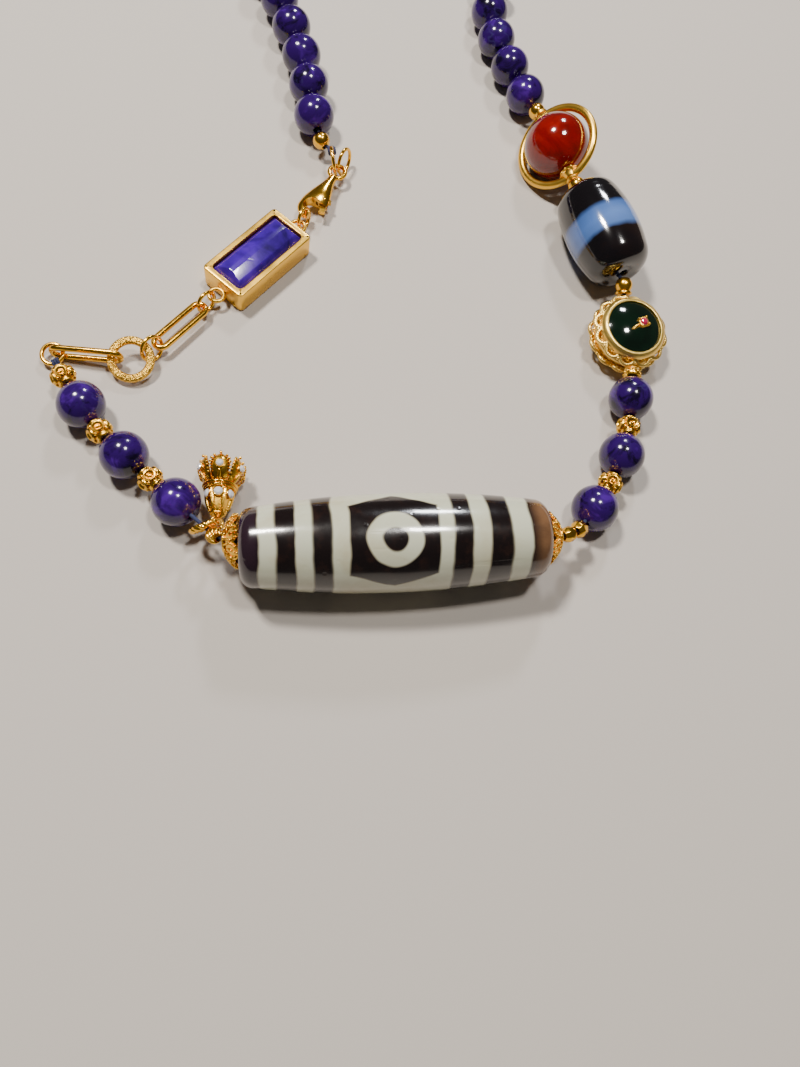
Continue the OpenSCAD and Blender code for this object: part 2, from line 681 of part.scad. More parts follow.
// a bar with a ridged top: its ends and its long sides slope up to a narrow table
module bezel_stone() color("#2c2a9c") on_chain("bezel") {
    half_l = bezel_l / 2 - bezel_wall - seat;
    half_w = bezel_w / 2 - bezel_wall - seat;
    low = bezel_back - bezel_h / 2 + seat;
    shoulder = bezel_h / 2 - stone_shoulder;
    top = bezel_h / 2 + stone_rise;
    intersection() {
        rotate([90, 0, 90]) linear_extrude(height = bezel_l, center = true) polygon([
            [-half_w, low], [half_w, low], [half_w, shoulder], [0.72 * half_w, shoulder + 0.6 * (top - shoulder)],
            [0.14 * half_w, top], [-0.14 * half_w, top], [-0.72 * half_w, shoulder + 0.6 * (top - shoulder)],
            [-half_w, shoulder]
        ]);
        rotate([90, 0, 0]) linear_extrude(height = bezel_w, center = true) polygon([
            [-half_l, low], [half_l, low], [half_l, shoulder], [0.86 * half_l, top], [-0.86 * half_l, top],
            [-half_l, shoulder]
        ]);
    }
}

module lapis_left(i) color(lapis_blue) on_row(left_rows, left_knots, str("lapis ", i)) round_bead(lapis_d, bore);
module lapis_right(i) color(lapis_blue) on_row(right_rows, right_knots, str("lapis ", i)) round_bead(lapis_d, bore);
module spacer_left(i) color(gold) on_row(left_rows, left_knots, str("spacer ", i)) spacer_shape();
module spacer_right(i) color(gold) on_row(right_rows, right_knots, str("spacer ", i)) spacer_shape();

module charm_loop() color(gold) laid() translate(rope_middle)
    rotate([0, acos(rope_normal[2]), atan2(rope_normal[1], rope_normal[0])]) ring(rope_r, rope_wire);

module on_charm() laid() translate(charm_eye) rotate([0, charm_drop, charm_heading]) children();

// the charm's outline as [x, radius]
cone_outline = [
    [cone_x, 0], [cone_x, 0.62], [0.14 * charm_l, 0.22 * collar_d], [collar_x - 0.6, 0.39 * collar_d],
    [collar_x, 0.44 * collar_d], [collar_x + 0.4, 0.4 * collar_d], [collar_x + 0.4, 0]
];
petal_outline = [
    [collar_x, 0.24 * crown_d], [collar_x + 0.9, 0.4 * crown_d], [0.79 * charm_l, 0.49 * crown_d],
    [0.9 * charm_l, 0.5 * crown_d], [charm_l - 0.1, 0.43 * crown_d]
];

module turned_about_x(outline) rotate([0, 90, 0]) rotate_extrude() polygon([for (p = outline) [p[1], p[0]]]);

module crown_petals() {
    inner = [for (i = [len(petal_outline) - 1 : -1 : 0]) petal_outline[i] - [0, petal_wall]];
    petal_x = (collar_x + charm_l) / 2 - 0.1;
    intersection() {
        turned_about_x(concat(petal_outline, inner));
        for (k = [0 : petal_count - 1]) rotate([360 * k / petal_count, 0, 0]) translate([petal_x, 0, 0])
            scale([(charm_l - collar_x) / 2 + 0.1, 0.215 * crown_d, 1]) cylinder(r = 1, h = crown_d);
    }
}

module on_stones(x, r, phase) for (k = [0 : petal_count - 1]) rotate([360 * k / petal_count + phase, 0, 0])
    translate([x, 0, r]) children();

module charm() color(gold) on_charm() {
    rotate([eye_roll, 0, 0]) ring(eye_r, eye_wire);
    difference() {
        union() {
            turned_about_x(cone_outline);
            for (k = [0 : petal_count - 1]) rotate([60 * k + 30, 0, 0])
                along([cone_x + 0.3, 0, 0.6], [collar_x, 0, 0.43 * collar_d]) x_rod(0.6, 0.5 * charm_l);
            translate([collar_x + 0.05, 0, 0]) rotate([0, 90, 0]) ring(collar_d / 2 - 0.3, 0.6);
            crown_petals();
            translate([collar_x + 1.3, 0, 0]) x_rod(1, 2.4);
            translate([collar_x + 2.3, 0, 0]) scale([1, 0.72, 0.72]) sphere(1);
        }
        on_stones(petal_stone_x, petal_stone_r - seat, 0) cylinder(d = petal_stone_d + 2 * seat, h = 2);
        on_stones(cone_stone_x, cone_stone_r - seat, 0) cylinder(d = cone_stone_d + 2 * seat, h = 2);
    }
}

module charm_stones() color("#eef2f5") on_charm() {
    on_stones(petal_stone_x, petal_stone_r, 0) cut_stone(petal_stone_d);
    on_stones(cone_stone_x, cone_stone_r, 0) cut_stone(cone_stone_d);
}

module ribbed_gold_bead() color(gold) on_row(left_rows, left_knots, "ribbed") round_bead(ribbed_d, small_bore);
module dzi_cap_left() color(gold) on_row(left_rows, left_knots, "cap") petal_cap_shape();
module dzi_cap_right() color(gold) on_row(right_rows, right_knots, "cap") petal_cap_shape();

module dzi_bead() color(dzi_black) laid() difference() {
    translate([0, 0, dzi_d / 2]) barrel_shape(dzi_l, dzi_d, dzi_end_d, dzi_corner);
    along(left_knots[0] - [1, 0, 0], right_knots[0] + [1, 0, 0]) x_rod(dzi_bore, dzi_l + 3);
}

// a small bead with eight flat sides and a row of facets towards each end
module faceted_shape(d) {
    facets = [[0, -0.46], [0.3, -0.46], [0.5, -0.18], [0.5, 0.18], [0.3, 0.46], [0, 0.46]];
    difference() {
        rotate([0, 90, 0]) rotate_extrude($fn = 8) polygon(d * facets);
        x_rod(small_bore, 2 * d);
    }
}

module faceted_bead_1() color(gold) on_row(right_rows, right_knots, "facet 1") faceted_shape(facet_1_d);
module faceted_bead_2() color(gold) on_row(right_rows, right_knots, "facet 2") faceted_shape(facet_2_d);

module rondelle() color(gold) on_row(right_rows, right_knots, "rondelle") intersection() {
    round_bead(rondelle_d, small_bore);
    x_rod(rondelle_d + 1, rondelle_l);
}

module on_medallion() on_row(right_rows, right_knots, "medallion") rotate([medallion_tilt, 0, 0]) children();

module medallion_frame() color(gold) on_medallion() difference() {
    union() {
        cylinder(d = medallion_bezel_d, h = 2 * medallion_rim, center = true);
        for (face = [0, 180]) rotate([face, 0, 0]) for (k = [0 : lobe_count - 1])
            rotate([0, 0, 360 * (k + 0.5) / lobe_count])
                translate([medallion_d / 2 - lobe_r - lobe_wire / 2 + 0.08, 0, lobe_z]) rotate([0, lobe_slope, 0])
                    ring(lobe_r, lobe_wire);
        ring(medallion_bezel_d / 2 + 0.1, 0.9);
        x_rod(1.9, medallion_d);
    }
    cylinder(r = stone_r + seat, h = 2 * medallion_rim + 1, center = true);
    x_rod(bore, medallion_d + 1);
}

module leaf(grow) translate([leaf_at[0], leaf_at[1], dome_top - 0.05]) rotate([0, 0, leaf_heading])
    scale([0.75 + grow, 0.26 + grow, 0.17 + grow]) sphere(1);

module medallion_stone() color(stone_green) on_medallion() difference() {
    intersection() {
        cylinder(r = stone_r, h = 2 * dome_top, center = true);
        translate([0, 0, dome_top - dome_r]) sphere(dome_r);
        translate([0, 0, dome_r - dome_top]) sphere(dome_r);
    }
    x_rod(bore, medallion_d);
    translate([ruby_at[0], ruby_at[1], ruby_base - seat]) cylinder(r = ruby_d / 2 + 0.2 + seat, h = 2);
    leaf(seat);
}

module ruby_setting() color(gold) on_medallion() difference() {
    union() {
        translate([ruby_at[0], ruby_at[1], ruby_base]) cylinder(r = ruby_d / 2 + 0.2, h = 0.55);
        leaf(0);
    }
    translate([ruby_at[0], ruby_at[1], ruby_base + 0.15]) cylinder(r = ruby_d / 2 + seat, h = 2);
}

module ruby() color("#b3123a") on_medallion() translate([ruby_at[0], ruby_at[1], ruby_base + 0.15 + seat])
    cut_stone(ruby_d);

module gold_bead_lower() color(gold) on_row(right_rows, right_knots, "gold lower") round_bead(gold_lower_d, small_bore);
module gold_bead_upper() color(gold) on_row(right_rows, right_knots, "gold upper") round_bead(gold_upper_d, small_bore);

module barrel_bead() color(dzi_black) on_row(right_rows, right_knots, "barrel") difference() {
    barrel_shape(barrel_l, barrel_d, barrel_end_d, barrel_corner);
    x_rod(bore, barrel_l + 1);
}

module bead_frame() color(gold) on_row(right_rows, right_knots, "frame") rotate([frame_roll, 0, 0]) difference() {
    union() {
        rotate([0, 0, 90]) ring((frame_d - frame_wire) / 2, frame_wire);
        for (side = [0, 180]) rotate([0, 0, side]) {
            translate([red_d / 2 + seat, 0, 0]) rotate([0, 90, 0])
                cylinder(d = frame_pole_d, h = (frame_d - red_d - frame_wire) / 2);
            translate([red_d / 2 + 0.5, 0, 0]) rotate([0, 90, 0]) ring(frame_pole_d / 2 + 0.12, 0.5);
        }
    }
    x_rod(bore, frame_d + 1);
}

module red_bead() color(coral_red) on_row(right_rows, right_knots, "frame") round_bead(red_d, bore);

lapis_string_left();
gold_ball_left();
thread();
clasp_ring_a();
clasp_ring_b();
clasp_body();
clasp_lever();
claw_ring();
bezel_link();
bezel_stone();
bezel_ring();
paperclip_link();
chain_ring();
textured_ring();
edge_link();
end_ring();
for (i = [1 : 3]) {
    spacer_left(i);
    lapis_left(i);
    lapis_right(i);
}
for (i = [1 : 2]) spacer_right(i);
charm_loop();
charm();
charm_stones();
ribbed_gold_bead();
dzi_cap_left();
dzi_bead();
dzi_cap_right();
faceted_bead_1();
faceted_bead_2();
rondelle();
medallion_frame();
medallion_stone();
ruby_setting();
ruby();
gold_bead_lower();
barrel_bead();
gold_bead_upper();
bead_frame();
red_bead();
gold_ball_right();
lapis_string_right();
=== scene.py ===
import bpy
import bmesh
import json
import math
import random
from mathutils import Matrix, Vector, noise


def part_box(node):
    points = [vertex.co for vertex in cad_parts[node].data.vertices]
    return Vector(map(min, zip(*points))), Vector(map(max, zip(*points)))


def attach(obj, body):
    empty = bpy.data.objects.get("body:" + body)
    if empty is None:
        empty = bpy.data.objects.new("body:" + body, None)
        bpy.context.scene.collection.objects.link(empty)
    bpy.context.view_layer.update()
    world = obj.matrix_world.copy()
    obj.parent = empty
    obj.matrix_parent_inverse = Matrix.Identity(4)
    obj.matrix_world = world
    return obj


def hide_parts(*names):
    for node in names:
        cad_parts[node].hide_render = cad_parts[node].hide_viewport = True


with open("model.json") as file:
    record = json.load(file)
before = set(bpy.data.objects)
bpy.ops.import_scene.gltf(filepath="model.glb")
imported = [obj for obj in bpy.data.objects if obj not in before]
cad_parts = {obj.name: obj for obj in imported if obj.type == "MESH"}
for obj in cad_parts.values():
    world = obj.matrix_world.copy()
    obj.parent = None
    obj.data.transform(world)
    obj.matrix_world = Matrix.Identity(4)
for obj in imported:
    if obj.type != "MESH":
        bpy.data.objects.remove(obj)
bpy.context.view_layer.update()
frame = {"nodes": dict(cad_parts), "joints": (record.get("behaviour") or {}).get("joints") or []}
mm = 0.001
random.seed(7)
print("necklace frame loaded")


# places and turns, in millimetres and degrees

def moved(x, y, z):
    return Matrix.Translation((x, y, z))


def turned(axis, degrees):
    return Matrix.Rotation(math.radians(degrees), 4, axis)


def stepTurn(step, count, axis="X"):
    # one of count equal steps round the axis
    return Matrix.Rotation(math.tau * step / count, 4, axis)


def collarAt(x):
    # stands a ring up so that the thread's axis runs through it
    return moved(x, 0, 0) @ turned("Y", 90)


def placed(centre, heading=0, climb=0, roll=0):
    # x runs along the thread: roll first, then the climb, then the heading
    return Matrix.Translation(centre) @ turned("Z", heading) @ turned("Y", -climb) @ turned("X", roll)


def linkPlaced(centre, turn):
    # a chain link is turned about x, then y, then z
    roll, climb, heading = turn
    return placed(centre, heading, -climb, roll)


def faceTo(normal):
    # turns the z axis to a direction
    return Vector((0, 0, 1)).rotation_difference(normal).to_matrix().to_4x4()


def boxMiddle(node):
    low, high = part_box(node)
    return (low + high) / 2 / mm


def nodeCentre(node):
    # the middle of a CAD node's surface
    total, middle = 0.0, Vector()
    for face in frame["nodes"][node].data.polygons:
        total += face.area
        middle += face.area * face.center
    return middle / total / mm


def beadCentres(node, start):
    # the middle of each separate bead in a string, in order from the bead nearest to start
    shape = bmesh.new()
    shape.from_mesh(frame["nodes"][node].data)
    bmesh.ops.remove_doubles(shape, verts=shape.verts, dist=1e-6)
    left, centres = set(shape.verts), []
    while left:
        island, edge = set(), [left.pop()]
        while edge:
            vert = edge.pop()
            island.add(vert)
            for link in vert.link_edges:
                other = link.other_vert(vert)
                if other in left:
                    left.remove(other)
                    edge.append(other)
        low = Vector([min(v.co[i] for v in island) for i in range(3)])
        high = Vector([max(v.co[i] for v in island) for i in range(3)])
        centres.append((low + high) / 2 / mm)
    shape.free()
    ordered, at = [], Vector(start)
    while centres:
        nearest = min(centres, key=lambda c: (c - at).length)
        centres.remove(nearest)
        ordered.append(nearest)
        at = nearest
    return ordered


# shapes, in millimetres until a piece is finished

def meshFrom(name, shape):
    mesh = bpy.data.meshes.new(name)
    shape.to_mesh(mesh)
    shape.free()
    return mesh


def sceneObject(name, data):
    made = bpy.data.objects.new(name, data)
    bpy.context.scene.collection.objects.link(made)
    return made


def addTo(shape, part, turn=None):
    # puts one shape into another and frees it
    if turn is not None:
        part.transform(turn)
    holder = meshFrom("holder", part)
    shape.from_mesh(holder)
    bpy.data.meshes.remove(holder)


def spinRound(shape, axis, steps):
    # a whole turn of everything in a shape, with its seam and poles merged
    bmesh.ops.spin(shape, geom=shape.verts[:] + shape.edges[:], cent=(0, 0, 0), axis=axis,
                   angle=math.tau, steps=steps, use_merge=True)
    bmesh.ops.remove_doubles(shape, verts=shape.verts, dist=0.0005)
    bmesh.ops.recalc_face_normals(shape, faces=shape.faces)
    return shape


def latheShape(profile, steps, closed=True, axis="X"):
    # turns a profile of (along, radius) points about the axis
    shape = bmesh.new()
    upright = axis == "Z"
    points = [shape.verts.new((r, 0, x) if upright else (x, 0, r)) for x, r in profile]
    for pair in zip(points, points[1:]):
        shape.edges.new(pair)
    if closed:
        shape.edges.new((points[-1], points[0]))
    return spinRound(shape, (0, 0, 1) if upright else (1, 0, 0), steps)


def mirrored(half):
    # a whole profile from the half that starts at its middle
    return [(-x, r) for x, r in reversed(half)] + half[1:]


def wireRing(radius, wire, steps, around):
    # a ring of wire about z
    shape = bmesh.new()
    bmesh.ops.create_circle(shape, segments=around, radius=wire / 2,
                            matrix=moved(radius, 0, 0) @ turned("X", 90))
    return spinRound(shape, (0, 0, 1), steps)


def ringAngle(vert):
    return math.atan2(vert.co.y, vert.co.x)


def wireCore(vert, radius):
    # the middle of a ring's wire, where a vertex is nearest to it
    angle = ringAngle(vert)
    return Vector((math.cos(angle), math.sin(angle), 0)) * radius


def twistedRing(radius, wire, steps, around, turns, depth, strands=2):
    # a ring of wire with the grooves between its twisted strands
    shape = wireRing(radius, wire, steps, around)
    for vert in shape.verts:
        core = wireCore(vert, radius)
        out = vert.co - core
        side = math.atan2(out.z, out.dot(core.normalized()))
        groove = abs(math.cos(strands * side / 2 + turns * ringAngle(vert)))
        vert.co = core + out * (1 - depth + depth * groove)
    return shape


def rollAngle(vert):
    # a vertex's angle round the thread's axis
    return math.atan2(vert.co.y, vert.co.z)


def offAxis(vert):
    return Vector((0, vert.co.y, vert.co.z))


def ball(radius, rings, stretch):
    shape = bmesh.new()
    bmesh.ops.create_uvsphere(shape, u_segments=2 * rings, v_segments=rings, radius=radius)
    bmesh.ops.scale(shape, vec=stretch, verts=shape.verts)
    return shape


def granule(radius):
    shape = bmesh.new()
    bmesh.ops.create_icosphere(shape, subdivisions=2, radius=radius)
    return shape


def block(size, place=(0, 0, 0)):
    shape = bmesh.new()
    bmesh.ops.create_cube(shape, size=1, matrix=Matrix.Translation(place) @ Matrix.Diagonal((*size, 1)))
    return shape


def rod(radius, length, segments, place=(0, 0, 0)):
    shape = bmesh.new()
    bmesh.ops.create_cone(shape, cap_ends=True, segments=segments, radius1=radius, radius2=radius,
                          depth=length, matrix=Matrix.Translation(place))
    return shape


def hullShape(corners):
    shape = bmesh.new()
    for corner in corners:
        shape.verts.new(corner)
    bmesh.ops.convex_hull(shape, input=shape.verts)
    bmesh.ops.dissolve_limit(shape, angle_limit=math.radians(2), verts=shape.verts, edges=shape.edges)
    return shape


def softEdges(shape, edges, width, segments=3, clamp=False):
    bmesh.ops.bevel(shape, geom=edges, affect="EDGES", offset=width, segments=segments, profile=0.5,
                    material=-1, clamp_overlap=clamp)


def foldedEdges(shape, angle):
    return [e for e in shape.edges if len(e.link_faces) == 2 and e.calc_face_angle(0) > angle]


def camelName(node):
    first, *rest = node.split("_")
    return first + "".join(word.title() for word in rest)


def finishPiece(node, shape, at, material, limit=40, name=None):
    # puts a shape in its place, in metres, where it stands for its CAD node
    name = name or camelName(node)
    if at is not None:
        shape.transform(at)
    bmesh.ops.scale(shape, vec=(mm, mm, mm), verts=shape.verts)
    for face in shape.faces:
        face.smooth = True
    for edge in shape.edges:
        edge.smooth = len(edge.link_faces) != 2 or edge.calc_face_angle(0) < math.radians(limit)
    piece = sceneObject(name, meshFrom(name, shape))
    piece.data.materials.append(material)
    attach(piece, "necklace")
    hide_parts(node)


def dress(node, material):
    # a CAD node that keeps its shape takes a better material
    data = frame["nodes"][node].data
    data.materials.clear()
    data.materials.append(material)
    for face in data.polygons:
        face.material_index = 0


# shader nodes: another node's output is linked to a socket, and any other value is set on it

def setInputs(tree, node, values):
    for key, value in values.items():
        if isinstance(value, bpy.types.NodeSocket):
            tree.links.new(value, node.inputs[key])
        else:
            node.inputs[key].default_value = value


def addNode(tree, kind, settings=None, values=None):
    node = tree.nodes.new(kind)
    for key, value in (settings or {}).items():
        setattr(node, key, value)
    setInputs(tree, node, values or {})
    return node


def mathNode(tree, operation, *values):
    return addNode(tree, "ShaderNodeMath", {"operation": operation}, dict(enumerate(values))).outputs[0]


def plus(tree, a, b):
    return mathNode(tree, "ADD", a, b)


def minus(tree, a, b):
    return mathNode(tree, "SUBTRACT", a, b)


def times(tree, a, b):
    return mathNode(tree, "MULTIPLY", a, b)


def lengthOf(tree, a, b):
    return mathNode(tree, "SQRT", plus(tree, times(tree, a, a), times(tree, b, b)))


def vectorNode(tree, operation, values):
    return addNode(tree, "ShaderNodeVectorMath", {"operation": operation}, values).outputs[0]


def mixColour(tree, mask, a, b):
    a, b = [(*colour[:3], 1) if isinstance(colour, (tuple, list)) else colour for colour in (a, b)]
    return addNode(tree, "ShaderNodeMix", {"data_type": "RGBA"}, {0: mask, 6: a, 7: b}).outputs[2]


def rampNode(tree, factor, stops):
    node = addNode(tree, "ShaderNodeValToRGB", values={0: factor})
    elements = node.color_ramp.elements
    while len(elements) < len(stops):
        elements.new(1)
    for element, (position, colour) in zip(elements, stops):
        element.position = position
        element.color = (*colour, 1) if isinstance(colour, (tuple, list)) else (colour, colour, colour, 1)
    return node.outputs[0]


def noiseNode(tree, vector, scale, detail=3, rough=0.5, distortion=0, output="Fac"):
    values = {"Vector": vector, "Scale": scale, "Detail": detail, "Roughness": rough,
              "Distortion": distortion}
    return addNode(tree, "ShaderNodeTexNoise", values=values).outputs[output]


def bumpNode(tree, height, strength, distance):
    values = {"Height": height, "Strength": strength, "Distance": distance}
    return addNode(tree, "ShaderNodeBump", values=values).outputs[0]


def turnedPlace(tree, place, centre, heading=0, climb=0, roll=0):
    # millimetres in a piece's own frame, x along its axis
    values = {"Vector": place, "Location": [c * mm for c in centre], "Scale": (mm, mm, mm),
              "Rotation": [math.radians(a) for a in (roll, -climb, heading)]}
    return addNode(tree, "ShaderNodeMapping", {"vector_type": "TEXTURE"}, values).outputs[0]


def splitAxes(tree, vector):
    return addNode(tree, "ShaderNodeSeparateXYZ", values={0: vector}).outputs


# shader groups that more than one material uses

def newGroup(name, inputs, outputs):
    group = bpy.data.node_groups.new(name, "ShaderNodeTree")
    for way, sockets in (("INPUT", inputs), ("OUTPUT", outputs)):
        for label, kind in sockets.items():
            group.interface.new_socket(label, in_out=way, socket_type=kind)
    enter = group.nodes.new("NodeGroupInput")
    leave = group.nodes.new("NodeGroupOutput")
    return group, enter.outputs, leave


def useGroup(tree, group, values):
    return addNode(tree, "ShaderNodeGroup", {"node_tree": group}, values).outputs


number, colourKind = "NodeSocketFloat", "NodeSocketColor"
placeAndScale = {"Vector": "NodeSocketVector", "Scale": number}


def makeMottle():
    # cloudy variation inside a stone, with a finer grain on it
    group, enter, leave = newGroup("stoneMottle", placeAndScale, {"Cloud": number, "Grain": number})
    finer = 5.0
    cloud = noiseNode(group, enter["Vector"], enter["Scale"], 5, 0.6, 0.8)
    grain = noiseNode(group, enter["Vector"], times(group, enter["Scale"], finer), 3, 0.55)
    setInputs(group, leave, {"Cloud": cloud, "Grain": grain})
    return group


def makeHandling():
    # hairline scratches and fine pits from wear, as a height and as a roughness to add
    group, enter, leave = newGroup("handlingWear", placeAndScale, {"Height": number, "Dulling": number})
    stretch = {"Vector": enter["Vector"], "Rotation": (0.4, 0.2, 0.7), "Scale": (0.12, 1.0, 1.0)}
    turn = addNode(group, "ShaderNodeMapping", values=stretch)
    scratch = noiseNode(group, turn.outputs[0], enter["Scale"], 2, 0.7)
    pits = addNode(group, "ShaderNodeTexVoronoi", {"feature": "F1"},
                   {"Vector": enter["Vector"], "Scale": enter["Scale"]})
    smudge = noiseNode(group, enter["Vector"], 260.0)
    line = rampNode(group, scratch, [(0.28, 0.0), (0.36, 1.0)])
    pit = rampNode(group, pits.outputs["Distance"], [(0.05, 0.0), (0.16, 1.0)])
    dulling = rampNode(group, smudge, [(0.35, 0.0), (0.7, 1.0)])
    setInputs(group, leave, {"Height": times(group, line, pit), "Dulling": dulling})
    return group


def makePaintedRecessShade():
    # painted shade: darker, redder gold in the hollows, where shade would fall
    group, enter, leave = newGroup("goldRecessShade", {"Metal": colourKind, "Hollow": colourKind},
                                   {"Color": colourKind})
    shape = addNode(group, "ShaderNodeNewGeometry")
    hollow = rampNode(group, shape.outputs["Pointiness"], [(0.42, 1.0), (0.5, 0.0)])
    setInputs(group, leave, {"Color": mixColour(group, hollow, enter["Metal"], enter["Hollow"])})
    return group


mottleGroup = makeMottle()
handlingGroup = makeHandling()
recessShadeGroup = makePaintedRecessShade()


def stoneGroups(tree, place, mottleScale, wearScale):
    return (useGroup(tree, mottleGroup, {"Vector": place, "Scale": mottleScale}),
            useGroup(tree, handlingGroup, {"Vector": place, "Scale": wearScale}))


def newMaterial(name):
    material = bpy.data.materials.new(name)
    material.use_nodes = True
    tree = material.node_tree
    tree.nodes.clear()
    surface = tree.nodes.new("ShaderNodeBsdfPrincipled")
    output = tree.nodes.new("ShaderNodeOutputMaterial")
    tree.links.new(surface.outputs[0], output.inputs[0])
    place = tree.nodes.new("ShaderNodeTexCoord")
    return material, tree, surface, place.outputs["Object"]


# gold, in four finishes

# the metal colour, with painted shade darkening its hollows
def goldColour(tree, look):
    colours = {"Metal": (*look["metal"], 1), "Hollow": (*look["hollow"], 1)}
    return useGroup(tree, recessShadeGroup, colours)["Color"]


def makeGold(name, look):
    material, tree, surface, place = newMaterial(name)
    metal = goldColour(tree, look)
    wear = useGroup(tree, handlingGroup, {"Vector": place, "Scale": look["wearScale"]})
    cast = noiseNode(tree, place, look["castScale"], 3, 0.55)
    tint = times(tree, rampNode(tree, cast, [(0.35, 0.0), (0.65, 1.0)]), look["warmShare"])
    height = plus(tree, times(tree, cast, look["castDepth"]), times(tree, wear["Height"], look["wearDepth"]))
    setInputs(tree, surface, {
        "Base Color": mixColour(tree, tint, metal, look["warm"]), "Metallic": 1,
        "Roughness": plus(tree, times(tree, wear["Dulling"], look["dulling"]), look["rough"]),
        "Normal": bumpNode(tree, height, 1.0, 0.0001)})
    return material


# each look's darker, redder colour for the hollows is painted shade
polishedLook = {"metal": (0.95, 0.50, 0.045), "hollow": (0.26, 0.07, 0.004), "warm": (0.98, 0.60, 0.09),
                "warmShare": 0.35, "rough": 0.14, "dulling": 0.12, "castScale": 700.0, "castDepth": 0.10,
                "wearScale": 1500.0, "wearDepth": 0.02}
satinLook = dict(polishedLook, metal=(0.95, 0.56, 0.08), rough=0.27, dulling=0.10, castScale=1500.0,
                 castDepth=0.20, wearDepth=0.05)
castLook = dict(polishedLook, metal=(0.97, 0.53, 0.05), hollow=(0.16, 0.04, 0.003), rough=0.17, dulling=0.16,
                castScale=2200.0, castDepth=0.45)
wireLook = dict(satinLook, metal=(0.98, 0.69, 0.19), hollow=(0.26, 0.09, 0.008), rough=0.30, castScale=2600.0,
                castDepth=0.3)
polishedGold = makeGold("polished gold", polishedLook)
satinGold = makeGold("satin gold", satinLook)
castGold = makeGold("cast gold", castLook)
wireGold = makeGold("milled gold wire", wireLook)
print("gold ready")


# lapis

lapisLook = {"deep": (0.003, 0.0004, 0.012), "body": (0.020, 0.001, 0.085), "bright": (0.055, 0.007, 0.210),
             "vein": (0.045, 0.04, 0.14), "scale": 300.0, "wearScale": 700.0, "veinScale": 160.0,
             "bendScale": 420.0, "bend": 0.006, "patchScale": 130.0}


def makeLapis(look):
    material, tree, surface, place = newMaterial("lapis")
    mottle, wear = stoneGroups(tree, place, look["scale"], look["wearScale"])
    cloud = rampNode(tree, mottle["Cloud"], [(0.36, look["deep"]), (0.47, look["body"]), (0.54, look["body"]),
                                             (0.66, look["bright"])])
    # thin veins between bent cells, shown only in patches
    shift = noiseNode(tree, place, look["bendScale"], output="Color")
    bend = vectorNode(tree, "SCALE", {0: shift, "Scale": look["bend"]})
    bent = vectorNode(tree, "ADD", {0: place, 1: bend})
    cells = addNode(tree, "ShaderNodeTexVoronoi", {"feature": "DISTANCE_TO_EDGE"},
                    {"Vector": bent, "Scale": look["veinScale"]})
    line = rampNode(tree, cells.outputs["Distance"], [(0.0, 1.0), (0.035, 0.0)])
    patch = rampNode(tree, noiseNode(tree, place, look["patchScale"], 2), [(0.50, 0.0), (0.66, 0.55)])
    veined = mixColour(tree, times(tree, line, patch), cloud, look["vein"])
    speck = rampNode(tree, mottle["Grain"], [(0.25, 1.0), (0.36, 0.0)])
    setInputs(tree, surface, {
        "Base Color": mixColour(tree, times(tree, speck, 0.5), veined, look["deep"]), "Roughness": 0.15,
        "IOR": 1.50, "Coat Weight": 0.35, "Coat Roughness": 0.05,
        "Normal": bumpNode(tree, wear["Height"], 0.25, 0.00004)})
    return material


lapis = makeLapis(lapisLook)


# dzi bead

dzi = {"length": 36.4, "middle": 11.8, "end": 9.0, "corner": 1.7, "bore": 1.2, "steps": 128,
       "bands": [(-15.9, -14.0), (-11.8, -9.9), (-7.7, 5.9), (8.1, 10.2), (12.9, 15.2)],
       "edge": 0.14, "eyeAt": -0.75, "eyeTurn": 15.8, "ring": 3.15, "pupil": 1.38, "eyeSpan": 8,
       "fieldAt": -0.75, "fieldHalf": 5.0, "fieldCorner": 4.5, "fieldApex": 6.3,
       "wanderScale": 0.26, "wander": 0.75, "scale": 120.0, "wearScale": 520.0,
       "ivory": (0.55, 0.56, 0.42), "stain": (0.45, 0.39, 0.24), "black": (0.006, 0.003, 0.003),
       "brown": (0.022, 0.009, 0.006), "tan": (0.24, 0.12, 0.055), "leftEnd": (0.020, 0.009, 0.016),
       "rim": (0.16, 0.10, 0.05)}


